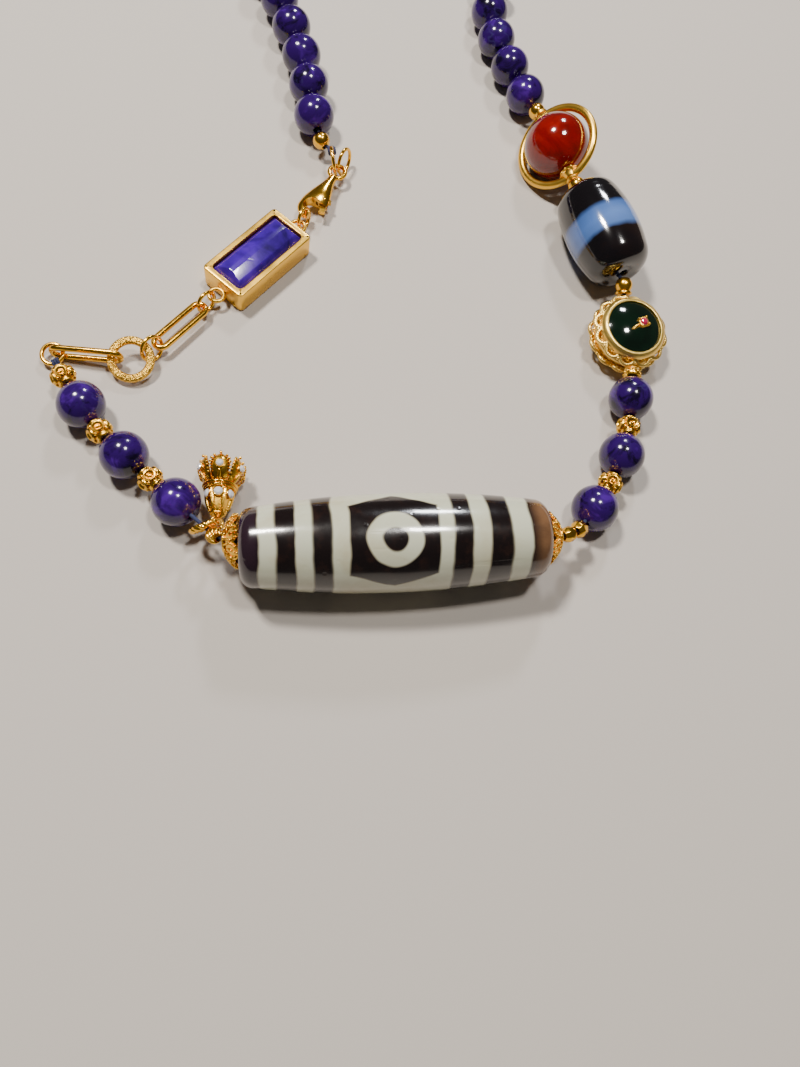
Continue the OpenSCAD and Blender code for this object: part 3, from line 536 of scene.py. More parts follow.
def makeDziMaterial(look, centre):
    material, tree, surface, place = newMaterial("banded agate")
    local = turnedPlace(tree, place, centre)
    edge = look["edge"]
    # the drawn lines wander a little
    wander = noiseNode(tree, local, look["wanderScale"], 1.5, output="Color")
    offset = vectorNode(tree, "SUBTRACT", {0: wander, 1: (0.5, 0.5, 0.5)})
    scaled = vectorNode(tree, "SCALE", {0: offset, "Scale": look["wander"]})
    along, across, up = splitAxes(tree, vectorNode(tree, "ADD", {0: local, 1: scaled}))
    # arc round the bead from the middle of the eye, the same on both faces
    angle = mathNode(tree, "ARCTAN2", times(tree, across, -1.0), up)
    centred = minus(tree, angle, math.radians(look["eyeTurn"]))
    half = mathNode(tree, "WRAP", centred, math.pi / 2, -math.pi / 2)
    arc = times(tree, half, look["middle"] / 2)
    # bands
    stops = []
    for low, high in look["bands"]:
        for line, before, after in ((low, 0.0, 1.0), (high, 1.0, 0.0)):
            stops.append(((line - edge) / look["length"] + 0.5, before))
            stops.append(((line + edge) / look["length"] + 0.5, after))
    share = plus(tree, mathNode(tree, "DIVIDE", along, look["length"]), 0.5)
    bands = rampNode(tree, share, stops)
    # the dark six-sided field
    fromMiddle = mathNode(tree, "ABSOLUTE", minus(tree, along, look["fieldAt"]))
    sideGap = minus(tree, look["fieldHalf"], fromMiddle)
    slope = (look["fieldApex"] - look["fieldCorner"]) / look["fieldHalf"]
    reach = minus(tree, look["fieldApex"], times(tree, fromMiddle, slope))
    topGap = minus(tree, reach, mathNode(tree, "ABSOLUTE", arc))
    inside = mathNode(tree, "MINIMUM", sideGap, topGap)
    field = rampNode(tree, plus(tree, times(tree, inside, 0.5), 0.5),
                     [(0.5 - edge / 2, 0.0), (0.5 + edge / 2, 1.0)])
    # the eye: a ring round a pupil
    span = look["eyeSpan"]
    radius = lengthOf(tree, minus(tree, along, look["eyeAt"]), arc)
    eye = rampNode(tree, mathNode(tree, "DIVIDE", radius, span),
                   [((look["pupil"] - edge) / span, 0.0), ((look["pupil"] + edge) / span, 1.0),
                    ((look["ring"] - edge) / span, 1.0), ((look["ring"] + edge) / span, 0.0)])
    outside = times(tree, bands, minus(tree, 1.0, field))
    white = mathNode(tree, "MAXIMUM", outside, times(tree, eye, field))
    # stains and clouds inside the stone
    mottle, wear = stoneGroups(tree, place, look["scale"], look["wearScale"])
    stained = rampNode(tree, mottle["Cloud"], [(0.46, 0.0), (0.72, 0.65)])
    ivory = mixColour(tree, stained, look["ivory"], look["stain"])
    brown = rampNode(tree, mottle["Grain"], [(0.50, 0.0), (0.72, 0.7)])
    dark = mixColour(tree, brown, look["black"], look["brown"])
    # the ends stay the natural stone, purple brown at the left and tan at the right
    rightEnd = rampNode(tree, share, [(0.918, 0.0), (0.955, 0.75), (1.0, 1.0)])
    leftEnd = rampNode(tree, share, [(0.0, 1.0), (0.05, 0.8), (0.07, 0.0)])
    patchy = rampNode(tree, mottle["Cloud"], [(0.3, 0.45), (0.6, 1.0)])
    tanned = mixColour(tree, times(tree, rightEnd, patchy), dark, look["tan"])
    purple = mixColour(tree, leftEnd, tanned, look["leftEnd"])
    drawn = mixColour(tree, white, purple, ivory)
    # a thin warm line where the white meets the black
    rim = rampNode(tree, white, [(0.0, 0.0), (0.35, 0.55), (0.8, 0.0)])
    relief = plus(tree, wear["Height"], times(tree, mottle["Grain"], 0.6))
    setInputs(tree, surface, {
        "Base Color": mixColour(tree, times(tree, rim, 0.5), drawn, look["rim"]), "IOR": 1.54,
        "Roughness": plus(tree, times(tree, wear["Dulling"], 0.08), 0.14),
        "Coat Weight": 0.5, "Coat Roughness": 0.06, "Normal": bumpNode(tree, relief, 0.35, 0.00006)})
    return material


def barrelShape(look):
    # one long bulge with rounded ends and a countersunk bore
    length, middle, corner, lip = look["length"], look["middle"], look["corner"], look["bore"] / 2
    sag = (middle - look["end"]) / 2
    arc = (length * length / 4 + sag * sag) / (2 * sag)
    cornerX = length / 2 - corner
    cornerR = middle / 2 - arc + math.sqrt((arc - corner) ** 2 - cornerX ** 2)
    meet = cornerX * arc / (arc - corner)
    half = []
    for i in range(25):
        x = meet * i / 24
        half.append((x, middle / 2 - arc + math.sqrt(arc * arc - x * x)))
    start = math.atan2(half[-1][1] - cornerR, half[-1][0] - cornerX)
    for i in range(1, 11):
        a = start * (1 - i / 10)
        half.append((cornerX + corner * math.cos(a), cornerR + corner * math.sin(a)))
    half += [(length / 2, lip + 0.25), (length / 2 - 0.12, lip + 0.05), (length / 2 - 0.3, lip)]
    shape = latheShape(mirrored(half), look["steps"])
    # ground by hand, so never quite round
    wobble, wobbleScale = 0.03, 0.28
    for vert in shape.verts:
        out = offAxis(vert)
        if out.length > look["bore"]:
            vert.co -= out.normalized() * wobble * (1 + noise.noise(vert.co * wobbleScale))
    return shape


dziPlace = boxMiddle("dzi_bead")
finishPiece("dzi_bead", barrelShape(dzi), placed(dziPlace), makeDziMaterial(dzi, dziPlace),
            50)
print("dzi bead ready")


# the pieces on each side of the dzi bead, as (heading, climb) along the thread

strung = {"dzi_cap_left": (180, 0), "ribbed_gold_bead": (127, -19), "lapis_left_3": (132, -5),
          "spacer_left_3": (137, 4), "lapis_left_2": (134, 2), "spacer_left_2": (127, -2),
          "lapis_left_1": (121, 0), "spacer_left_1": (118, 0), "dzi_cap_right": (0, 0),
          "faceted_bead_1": (22, -16), "faceted_bead_2": (36, -31), "lapis_right_3": (51, -8),
          "spacer_right_2": (54, 6), "lapis_right_2": (64, 2), "spacer_right_1": (75, -3),
          "lapis_right_1": (76, 1), "rondelle": (72, -17), "medallion_frame": (89, 8),
          "gold_bead_lower": (85, 23), "barrel_bead": (105, 0), "gold_bead_upper": (106, -8),
          "red_bead": (103, 0), "bead_frame": (103, 0), "gold_ball_right": (98, -29),
          "gold_ball_left": (118, 14)}
centres = {name: nodeCentre(name) for name in strung}


def onThread(name, roll=0):
    heading, climb = strung[name]
    return placed(centres[name], heading, climb, roll)


# lapis beads and round gold beads

roundBead = {"lapis": 6.0, "bore": 1.0, "smallBore": 0.9, "sizeSpread": 0.012}
goldBalls = {"gold_ball_left": 2.5, "gold_ball_right": 2.5, "gold_bead_upper": 2.6}


def roundShape(diameter, bore, steps=40, arcs=22, lip=0.16):
    # a drilled ball with a small countersink round each end of its bore
    radius = diameter / 2
    start = math.asin((bore / 2 + lip) / radius)
    points = []
    for i in range(arcs + 1):
        a = start + (math.pi - 2 * start) * i / arcs
        points.append((-radius * math.cos(a), radius * math.sin(a)))
    inner = points[-1][0] - lip
    return latheShape([(-inner, bore / 2)] + points + [(inner, bore / 2)], steps)


def lapisSize():
    # no two beads are quite the same
    return roundBead["lapis"] * (1 - roundBead["sizeSpread"] * random.random())


leftString = beadCentres("lapis_string_left", centres["gold_ball_left"])
rightString = beadCentres("lapis_string_right", leftString[-1])
backBeads = leftString + rightString
backEnds = [centres["gold_ball_left"]] + backBeads + [centres["gold_ball_right"]]
for node, beads in (("lapis_string_left", leftString), ("lapis_string_right", rightString)):
    shape = bmesh.new()
    for centre in beads:
        i = backBeads.index(centre)
        ahead = backEnds[i + 2] - backEnds[i]
        turn = placed(centre, math.degrees(math.atan2(ahead.y, ahead.x)))
        addTo(shape, roundShape(lapisSize(), roundBead["bore"]), turn)
    finishPiece(node, shape, None, lapis)
for side in ("left", "right"):
    for i in (1, 2, 3):
        node = f"lapis_{side}_{i}"
        finishPiece(node, roundShape(lapisSize(), roundBead["bore"], 56, 30), onThread(node), lapis)
for node, diameter in goldBalls.items():
    finishPiece(node, roundShape(diameter, roundBead["smallBore"], 40, 18, 0.1), onThread(node), polishedGold)
print("lapis beads ready")


# gold spacers: five ring-and-dot roundels round a core, with granules between them

spacer = {"length": 2.6, "across": 2.6, "core": 0.98, "roundels": 5, "sunk": 0.42, "granule": 0.22,
          "granuleTurn": 36, "granuleX": 0.62, "granuleR": 1.2, "collar": 0.86, "collarWire": 0.34,
          "roundel": [(0, 0), (0.42, 0), (0.50, 0.16), (0.40, 0.24), (0.36, 0.34), (0.42, 0.46), (0.58, 0.58),
                      (0.60, 0.68), (0.50, 0.78), (0.30, 0.82), (0, 0.80)]}


def spacerShape():
    half, core = spacer["length"] / 2, spacer["core"]
    shape = latheShape(mirrored([(0, core + 0.08), (half - 0.18, core), (half, 0.82), (half, 0.5)]), 40)
    for end in (-1, 1):
        collar = twistedRing(spacer["collar"], spacer["collarWire"], 40, 10, 9, 0.12)
        addTo(shape, collar, collarAt(end * (half - spacer["collarWire"] / 2)))
    for k in range(spacer["roundels"]):
        turn = stepTurn(k, spacer["roundels"])
        dome = latheShape(spacer["roundel"], 28, closed=False, axis="Z")
        addTo(shape, dome, turn @ moved(0, 0, spacer["across"] / 2 - spacer["sunk"]))
        for end in (-1, 1):
            out = Vector((end * spacer["granuleX"], 0, spacer["granuleR"]))
            spot = turn @ turned("X", spacer["granuleTurn"]) @ out
            addTo(shape, granule(spacer["granule"]), Matrix.Translation(spot))
    return shape


for side, count in (("left", 3), ("right", 2)):
    for i in range(1, count + 1):
        node = f"spacer_{side}_{i}"
        finishPiece(node, spacerShape(), onThread(node), castGold)


# petal caps on the dzi bead

petalCap = {"rim": 3.3, "tip": 1.1, "length": 1.7, "sheet": 0.3, "sunk": 0.12, "petals": 8, "granule": 0.17,
            "notchFrom": 0.45, "notchDepth": 0.75, "leaf": (0.95, 0.42, 0.26), "leafAt": 0.55, "dot": 0.15,
            "dotAt": 0.86, "collars": [(0.02, 0.34), (0.14, 0.24)]}


def capCurve(share, lift):
    # a point on the cap's dome, from its tip at 0 to its rim at 1
    rim, tip, length = petalCap["rim"], petalCap["tip"], petalCap["length"]
    domeX = (tip * tip - rim * rim) / (2 * length)
    dome = math.hypot(length / 2 + domeX, rim)
    first = math.atan2(tip, length / 2 - domeX)
    last = math.atan2(rim, -length / 2 - domeX)
    angle = first + (last - first) * share
    return domeX + (dome + lift) * math.cos(angle), (dome + lift) * math.sin(angle)


def capPoint(share, around, lift):
    x, r = capCurve(share, lift)
    return Vector((x, r * math.sin(around), r * math.cos(around)))


def petalCapShape():
    count, sunk = petalCap["petals"], petalCap["sunk"]
    outer = [capCurve(i / 12, -sunk) for i in range(13)]
    inner = [capCurve(i / 12, -sunk - petalCap["sheet"]) for i in range(12, -1, -1)]
    shape = latheShape(outer + inner, 96)
    # petals: pull the sheet back between them
    tipX = capCurve(0, 0)[0]
    for vert in shape.verts:
        notch = 1 - abs(math.cos(count * rollAngle(vert) / 2))
        depth = (tipX - vert.co.x) / petalCap["length"]
        pull = max(0.0, depth - petalCap["notchFrom"]) * notch ** 2
        vert.co.x += petalCap["notchDepth"] * pull
        vert.co.y *= 1 - 0.10 * pull
        vert.co.z *= 1 - 0.10 * pull
    near, far = capCurve(0.2, 0), capCurve(0.9, 0)
    lean = math.atan2(far[1] - near[1], near[0] - far[0])
    for k in range(count):
        mid = math.tau * k / count
        # granules up both sides of a petal, which meet in one at its tip
        for side in (-1, 1):
            for j in range(8 if side < 0 else 7):
                t = j / 7
                swing = math.pi / count * 0.86 * math.sqrt(max(0.0, 1 - max(0.0, (t - 0.35) / 0.65) ** 2))
                at = capPoint(0.22 + 0.76 * t, mid + side * swing * (0.55 + 0.45 * min(1, t * 2.5)), 0.0)
                addTo(shape, granule(petalCap["granule"] * (0.8 + 0.25 * t)), Matrix.Translation(at))
        # a leaf in each petal, with a dot near its rim
        x, r = capCurve(petalCap["leafAt"], -0.03)
        leafPlace = Matrix.Rotation(-mid, 4, "X") @ moved(x, 0, r) @ Matrix.Rotation(lean, 4, "Y")
        addTo(shape, ball(0.5, 8, petalCap["leaf"]), leafPlace)
        addTo(shape, granule(petalCap["dot"]), Matrix.Translation(capPoint(petalCap["dotAt"], mid, 0.02)))
    for share, wire in petalCap["collars"]:
        x, r = capCurve(share, -0.02)
        addTo(shape, twistedRing(r, wire, 72, 10, 12, 0.25), collarAt(x))
    return shape


for node in ("dzi_cap_left", "dzi_cap_right"):
    finishPiece(node, petalCapShape(), placed(boxMiddle(node), strung[node][0]), castGold)
print("spacers and caps ready")


# the small gold beads beside the dzi bead and the medallion

ribbed = {"diameter": 2.0, "bore": 0.9, "ribs": 12, "slant": 2.4}
facetedSizes = {"faceted_bead_1": 2.0, "faceted_bead_2": 2.2}
rondelle = {"diameter": 2.4, "length": 1.1, "granules": 14, "granule": 0.20, "sideGranule": 0.14}
lowerBead = [(-1.18, 0.45), (-1.18, 0.92), (-1.08, 1.12), (-0.90, 1.16), (-0.74, 1.08), (-0.66, 0.92),
             (-0.54, 0.98), (-0.10, 1.16), (0.35, 1.18), (0.80, 1.02), (1.08, 0.78), (1.18, 0.60),
             (1.18, 0.45)]

shape = roundShape(ribbed["diameter"], ribbed["bore"], 144, 18, 0.06)
for vert in shape.verts:
    if offAxis(vert).length > 0.5:
        rib = abs(math.cos(ribbed["ribs"] * rollAngle(vert) / 2 + ribbed["slant"] * vert.co.x))
        vert.co *= 0.84 + 0.19 * rib ** 0.7
finishPiece("ribbed_gold_bead", shape, onThread("ribbed_gold_bead"), castGold, name="ribbedBead")

for node, size in facetedSizes.items():
    profile = [(-0.46, 0.25), (-0.46, 0.3), (-0.18, 0.5), (0.18, 0.5), (0.46, 0.3), (0.46, 0.25)]
    shape = latheShape([(x * size, r * size) for x, r in profile], 8)
    for vert in shape.verts:
        # half a facet's turn between the two rows of corners
        if abs(vert.co.x) < 0.3 * size:
            vert.co = Matrix.Rotation(math.radians(22.5 if vert.co.x > 0 else 0), 3, "X") @ vert.co
    softEdges(shape, shape.edges[:], 0.035, 2)
    finishPiece(node, shape, onThread(node), polishedGold, limit=24)

length, size = rondelle["length"], rondelle["diameter"] / 2
half = [(0, size - 0.04), (0.3, size - 0.12), (length / 2, 0.8), (length / 2, 0.45)]
shape = latheShape(mirrored(half), 48)
for k in range(rondelle["granules"]):
    turn = stepTurn(k, rondelle["granules"])
    addTo(shape, granule(rondelle["granule"]), turn @ moved(0, 0, size - 0.10))
    for end in (-1, 1):
        between = turn @ stepTurn(0.5, rondelle["granules"])
        addTo(shape, granule(rondelle["sideGranule"]), between @ moved(end * 0.36, 0, size - 0.28))
finishPiece("rondelle", shape, onThread("rondelle"), castGold, name="goldRondelle")
finishPiece("gold_bead_lower", latheShape(lowerBead, 40), onThread("gold_bead_lower"), polishedGold)
print("small gold beads ready")


# barrel bead

barrel = {"length": 14.8, "middle": 10.4, "end": 8.0, "corner": 2.6, "bore": 1.0, "steps": 112,
          "bandLow": -2.6, "bandHigh": 1.1, "wanderScale": 0.22, "wander": 1.5, "scale": 110.0,
          "wearScale": 420.0, "black": (0.003, 0.002, 0.003), "brown": (0.014, 0.005, 0.003),
          "band": (0.055, 0.135, 0.42), "bandCloud": (0.13, 0.23, 0.50)}


def makeBarrelMaterial(look):
    material, tree, surface, place = newMaterial("black agate with a pale band")
    local = turnedPlace(tree, place, centres["barrel_bead"], *strung["barrel_bead"])
    along = splitAxes(tree, local)[0]
    wander = minus(tree, noiseNode(tree, local, look["wanderScale"]), 0.5)
    bent = plus(tree, along, times(tree, wander, look["wander"]))
    share = plus(tree, mathNode(tree, "DIVIDE", bent, look["length"]), 0.5)
    low, high = (look[edge] / look["length"] + 0.5 for edge in ("bandLow", "bandHigh"))
    band = rampNode(tree, share, [(low - 0.035, 0.0), (low + 0.02, 0.85), ((low + high) / 2, 1.0),
                                  (high - 0.02, 0.8), (high + 0.04, 0.0)])
    mottle, wear = stoneGroups(tree, place, look["scale"], look["wearScale"])
    brown = rampNode(tree, mottle["Cloud"], [(0.52, 0.0), (0.75, 0.8)])
    cloud = rampNode(tree, mottle["Cloud"], [(0.35, 0.0), (0.7, 0.6)])
    dark = mixColour(tree, brown, look["black"], look["brown"])
    pale = mixColour(tree, cloud, look["band"], look["bandCloud"])
    setInputs(tree, surface, {
        "Base Color": mixColour(tree, band, dark, pale), "Roughness": 0.12, "IOR": 1.54, "Coat Weight": 0.7,
        "Coat Roughness": 0.04, "Normal": bumpNode(tree, wear["Height"], 0.25, 0.00005)})
    return material


finishPiece("barrel_bead", barrelShape(barrel), onThread("barrel_bead"), makeBarrelMaterial(barrel),
            50)


# red bead and the gold ring that frames it

redBead = {"diameter": 9.6, "bore": 1.0}
redLook = {"scale": 160.0, "deep": (0.07, 0.001, 0.001), "body": (0.17, 0.002, 0.001),
           "bright": (0.27, 0.006, 0.003), "rough": 0.11}
beadFrame = {"outside": 12.9, "wire": 1.2, "flat": 0.88, "roll": -45, "poleGranules": 9,
             "pole": [(0, 0.5), (0, 1.25), (0.18, 1.36), (0.4, 1.2), (0.62, 0.98), (0.95, 0.92), (1.2, 0.8),
                      (1.2, 0.5)],
             "tube": [(1.4, 0.5), (1.4, 0.86), (1.72, 0.94), (1.9, 0.80), (1.9, 0.5)]}


def makeStone(name, look):
    # a glossy stone with cloudy colour
    material, tree, surface, place = newMaterial(name)
    mottle, wear = stoneGroups(tree, place, look["scale"], 600.0)
    cloud = rampNode(tree, mottle["Cloud"], [(0.3, look["deep"]), (0.52, look["body"]),
                                             (0.72, look["bright"])])
    grain = rampNode(tree, mottle["Grain"], [(0.3, 0.35), (0.5, 0.0)])
    setInputs(tree, surface, {
        "Base Color": mixColour(tree, grain, cloud, look["deep"]), "Roughness": look["rough"], "IOR": 1.53,
        "Coat Weight": 0.6, "Coat Roughness": 0.05, "Normal": bumpNode(tree, wear["Height"], 0.25, 0.00004)})
    return material


shape = roundShape(redBead["diameter"], redBead["bore"], 72, 40, 0.2)
for vert in shape.verts:
    if offAxis(vert).length > 1:
        vert.co *= 0.996 + 0.003 * noise.noise(vert.co * 0.3)
finishPiece("red_bead", shape, onThread("red_bead"), makeStone("deep red stone", redLook))

radius = (beadFrame["outside"] - beadFrame["wire"]) / 2
shape = wireRing(radius, beadFrame["wire"], 128, 24)
for vert in shape.verts:
    # the wire is a little flattened on its faces
    core = wireCore(vert, radius)
    out = vert.co - core
    out.z *= beadFrame["flat"]
    vert.co = core + out
for side in (0, 180):
    count = beadFrame["poleGranules"]
    turn = turned("Z", side) @ moved(redBead["diameter"] / 2 + 0.08, 0, 0)
    addTo(shape, latheShape(beadFrame["pole"], 40), turn)
    for k in range(count):
        around = turn @ stepTurn(k, count)
        addTo(shape, granule(0.22), around @ moved(0.22, 0, 1.26))
        addTo(shape, granule(0.14), around @ stepTurn(0.5, count) @ moved(0.46, 0, 1.08))
    addTo(shape, latheShape(beadFrame["tube"], 32), turn)
finishPiece("bead_frame", shape, onThread("bead_frame", beadFrame["roll"]), satinGold)
print("barrel and red bead ready")


# medallion

medallion = {"outside": 11.0, "bezel": 8.4, "wall": 0.45, "rim": 2.5, "tilt": 4, "lobes": 12,
             "lobeRadius": 1.05, "lobeWire": 0.58, "lobeSlope": 25, "lobeUp": 1.4, "girdleWire": 0.86,
             "sideWire": 0.36, "sideAt": 1.55, "prong": (0.8, 0.26, 0.26), "prongTurn": 38, "rise": 0.9,
             "sink": 0.2, "ruby": 1.1, "rubyAt": (0.3, -0.9), "rubyTurn": 20, "leafAt": (-0.36, 0.16),
             "leafTurn": 122, "tube": [(3.9, 0.5), (3.9, 0.9), (5.0, 0.95), (5.15, 1.05), (5.35, 1.05),
                                       (5.5, 0.9), (5.5, 0.5)]}
greenLook = {"scale": 140.0, "deep": (0.0004, 0.004, 0.0015), "body": (0.001, 0.009, 0.0035),
             "bright": (0.002, 0.018, 0.006), "rough": 0.08}


def addLobe(shape, seat):
    # a ring of twisted wire, with a small V and its dot inside
    addTo(shape, twistedRing(medallion["lobeRadius"], medallion["lobeWire"], 66, 9, 11, 0.26), seat)
    for side in (-1, 1):
        prong = seat @ moved(0.05, side * 0.30, 0.04) @ turned("Z", -side * medallion["prongTurn"])
        addTo(shape, ball(0.5, 6, medallion["prong"]), prong)
    addTo(shape, granule(0.17), seat @ moved(0.36, 0, 0.05))


def medallionFrameShape():
    outer, rim = medallion["bezel"] / 2, medallion["rim"]
    lobes, lobeUp = medallion["lobes"], medallion["lobeUp"]
    inner = outer - medallion["wall"]
    wall = [(-rim, inner), (-rim, outer - 0.12), (-rim + 0.14, outer), (-0.5, outer), (0.5, outer),
            (rim - 0.78, outer + 0.02), (rim - 0.70, outer + 0.30), (rim - 0.56, outer + 0.38),
            (rim - 0.42, outer + 0.33), (rim - 0.05, outer - 0.02), (rim + 0.02, outer - 0.16),
            (rim - 0.03, inner + 0.06), (rim - 0.2, inner)]
    shape = latheShape(wall, 112, axis="Z")
    addTo(shape, twistedRing(outer + 0.12, medallion["girdleWire"], 168, 14, 42, 0.12))
    reach = medallion["outside"] / 2 - medallion["lobeRadius"] - medallion["lobeWire"] / 2 + 0.08
    for face in (0, 180):
        for k in range(lobes):
            spoke = turned("X", face) @ stepTurn(k + 0.5, lobes, "Z")
            addLobe(shape, spoke @ moved(reach, 0, lobeUp) @ turned("Y", medallion["lobeSlope"]))
            between = spoke @ stepTurn(0.5, lobes, "Z")
            addTo(shape, granule(0.26), between @ moved(reach + 0.62, 0, lobeUp - 0.22))
            addTo(shape, granule(0.19), between @ moved(outer + 0.16, 0, lobeUp + 0.42))
    # a thinner twisted wire under the lobes joins them to the bezel
    for face in (-1, 1):
        joining = twistedRing(outer + 0.14, medallion["sideWire"], 150, 8, 48, 0.2)
        addTo(shape, joining, moved(0, 0, face * medallion["sideAt"]))
    for end in (0, 180):
        addTo(shape, latheShape(medallion["tube"], 32), turned("Z", end))
    return shape


onMedallion = onThread("medallion_frame", medallion["tilt"])
finishPiece("medallion_frame", medallionFrameShape(), onMedallion, wireGold)

# the stone, domed on both faces
stoneR = medallion["bezel"] / 2 - medallion["wall"] - 0.03
top = medallion["rim"] - medallion["sink"] + medallion["rise"]
domeR = (stoneR ** 2 + medallion["rise"] ** 2) / (2 * medallion["rise"])
dome = []
for i in range(17):
    r = stoneR * (1 - i / 16)
    dome.append((top - domeR + math.sqrt(domeR * domeR - r * r), r))
shape = latheShape([(-z, r) for z, r in reversed(dome)] + dome, 96, closed=False, axis="Z")
greenStone = makeStone("dark green stone", greenLook)
finishPiece("medallion_stone", shape, onMedallion, greenStone, 50)


def gemShape(size, sides=8):
    # a cut stone, as the hull of its rows of corners, each (how many, radius, height, phase)
    rows = [(sides, 0.27, 0.52, 0), (sides, 0.40, 0.43, 0.5), (2 * sides, 0.5, 0.29, 0.25),
            (2 * sides, 0.5, 0.22, 0.25), (sides, 0.33, 0.0, 0)]
    corners = []
    for count, share, up, phase in rows:
        for i in range(count):
            a = math.tau * (i + phase) / count
            corners.append((share * size * math.cos(a), share * size * math.sin(a), up * size))
    shape = hullShape(corners)
    bmesh.ops.recalc_face_normals(shape, faces=shape.faces)
    return shape


def makeGem(name, colour, clear):
    material, tree, surface, place = newMaterial(name)
    glow = rampNode(tree, noiseNode(tree, place, 900.0, 2), [(0.35, 0.0), (0.65, 0.6)])
    bright = [min(1, c * 1.7 + 0.02) for c in colour]
    setInputs(tree, surface, {
        "Base Color": mixColour(tree, glow, colour, bright), "Roughness": 0.03, "IOR": 1.9,
        "Transmission Weight": clear, "Coat Weight": 1.0, "Coat Roughness": 0.02})
    return material


rubyGem = makeGem("ruby", (0.38, 0.001, 0.045), 0.1)
clearGem = makeGem("clear stones", (0.86, 0.88, 0.95), 0.3)

# a square claw setting and a veined leaf on the stone
seat = Matrix.Translation((*medallion["rubyAt"], top - 0.3)) @ turned("Z", medallion["rubyTurn"])
shape = block((1.46, 1.46, 0.62), (0, 0, 0.2))
softEdges(shape, shape.edges[:], 0.2)
for x in (-1, 1):
    for y in (-1, 1):
        addTo(shape, ball(0.2, 6, (1, 1, 1.2)), moved(0.52 * x, 0.52 * y, 0.52))
shape.transform(seat)
leaf = ball(1, 20, (0.88, 0.25, 0.2))
for vert in leaf.verts:
    # veins on both sides of a mid rib
    veins = 1 - 0.30 * abs(math.sin(9 * vert.co.x + 7 * abs(vert.co.y)))
    vert.co.z *= veins if abs(vert.co.y) > 0.03 else 1.25
leafPlace = Matrix.Translation((*medallion["leafAt"], top - 0.05)) @ turned("Z", medallion["leafTurn"])
addTo(shape, leaf, leafPlace)
finishPiece("ruby_setting", shape, onMedallion, satinGold)
rubyPlace = onMedallion @ seat @ moved(0, 0, 0.2)
finishPiece("ruby", gemShape(medallion["ruby"]), rubyPlace, rubyGem, 5, "rubyStone")
print("medallion ready")


# flat ring, scratched outward from its hole, with painted shade in the scratches

washer = {"turn": (18, 0, -5), "outside": 6.1, "hole": 3.9, "thick": 0.66, "scratches": 9.0,
          "scratchLength": 0.7}


def makeScratchShadedGold():
    material, tree, surface, place = newMaterial("scratched gold with painted shade")
    roll, climb, heading = washer["turn"]
    local = turnedPlace(tree, place, nodeCentre("textured_ring"), heading, -climb, roll)
    along, across, up = splitAxes(tree, local)
    angle = mathNode(tree, "ARCTAN2", across, along)
    polar = addNode(tree, "ShaderNodeCombineXYZ", values={
        0: times(tree, angle, washer["scratches"]),
        1: times(tree, lengthOf(tree, along, across), washer["scratchLength"]),
        2: times(tree, up, washer["scratchLength"])})
    scratch = noiseNode(tree, polar.outputs[0], 2.2, 4, 0.65, 0.3)
    # painted shade: the scratches darken towards satin gold's hollow shade colour
    dark = rampNode(tree, scratch, [(0.36, 0.55), (0.52, 0.0)])
    setInputs(tree, surface, {
        "Base Color": mixColour(tree, dark, goldColour(tree, satinLook), satinLook["hollow"]), "Metallic": 1,
        "Roughness": plus(tree, times(tree, scratch, 0.25), 0.14),
        "Normal": bumpNode(tree, scratch, 0.9, 0.0002)})
    return material


edge = washer["thick"] / 2
profile = []
for middleR, start in ((washer["hole"] / 2 + edge, 90), (washer["outside"] / 2 - edge, -90)):
    for i in range(9):
        a = math.radians(start + 22.5 * i)
        profile.append((edge * math.sin(a), middleR + edge * math.cos(a)))
shape = latheShape(profile, 128, axis="Z")
for vert in shape.verts:
    vert.co.z *= 0.97 + 0.03 * math.sin(41 * ringAngle(vert))
washerPlace = linkPlaced(nodeCentre("textured_ring"), washer["turn"])
finishPiece("textured_ring", shape, washerPlace, makeScratchShadedGold())

for node in ("clasp_ring_a", "clasp_ring_b", "claw_ring", "bezel_ring", "chain_ring", "end_ring",
             "paperclip_link", "edge_link"):
    dress(node, polishedGold)


# the set stone link: a soft-edged box with a floor, a bail at each end, and a roof-cut stone

bezel = {"turn": (2, 0, 46), "up": 1.84, "length": 14.2, "width": 7.0, "height": 3.4, "wall": 0.95,
         "back": 0.5, "bail": 1.0, "bailWire": 0.54, "bailReach": 1.05, "bailDrop": 0.2, "rise": 0.8,
         "seat": 0.05}
violetLook = {"scale": 190.0, "deep": (0.012, 0.001, 0.08), "body": (0.045, 0.003, 0.28),
              "bright": (0.10, 0.02, 0.46), "rough": 0.2}


def edgeRise(edge):
    return abs(edge.verts[0].co.z - edge.verts[1].co.z)


def bezelShape():
    height = bezel["height"]
    shape = block((bezel["length"], bezel["width"], height))
    softEdges(shape, [edge for edge in shape.edges if edgeRise(edge) > 1], 0.6, 5)
    top = max(shape.faces, key=lambda f: f.calc_center_median().z)
    bmesh.ops.inset_region(shape, faces=[top], thickness=bezel["wall"] - 0.04, depth=0)
    upper = [f for f in shape.faces if f.calc_center_median().z > height / 2 - 0.01]
    top = min(upper, key=lambda f: f.calc_center_median().length_squared - f.calc_area())
    down = bmesh.ops.extrude_discrete_faces(shape, faces=[top])["faces"]
    bmesh.ops.translate(shape, vec=(0, 0, bezel["back"] - height), verts=down[0].verts)
    bmesh.ops.remove_doubles(shape, verts=shape.verts, dist=0.001)
    softEdges(shape, [edge for edge in foldedEdges(shape, 1.2) if edgeRise(edge) < 0.01], 0.2, 4)
    return shape


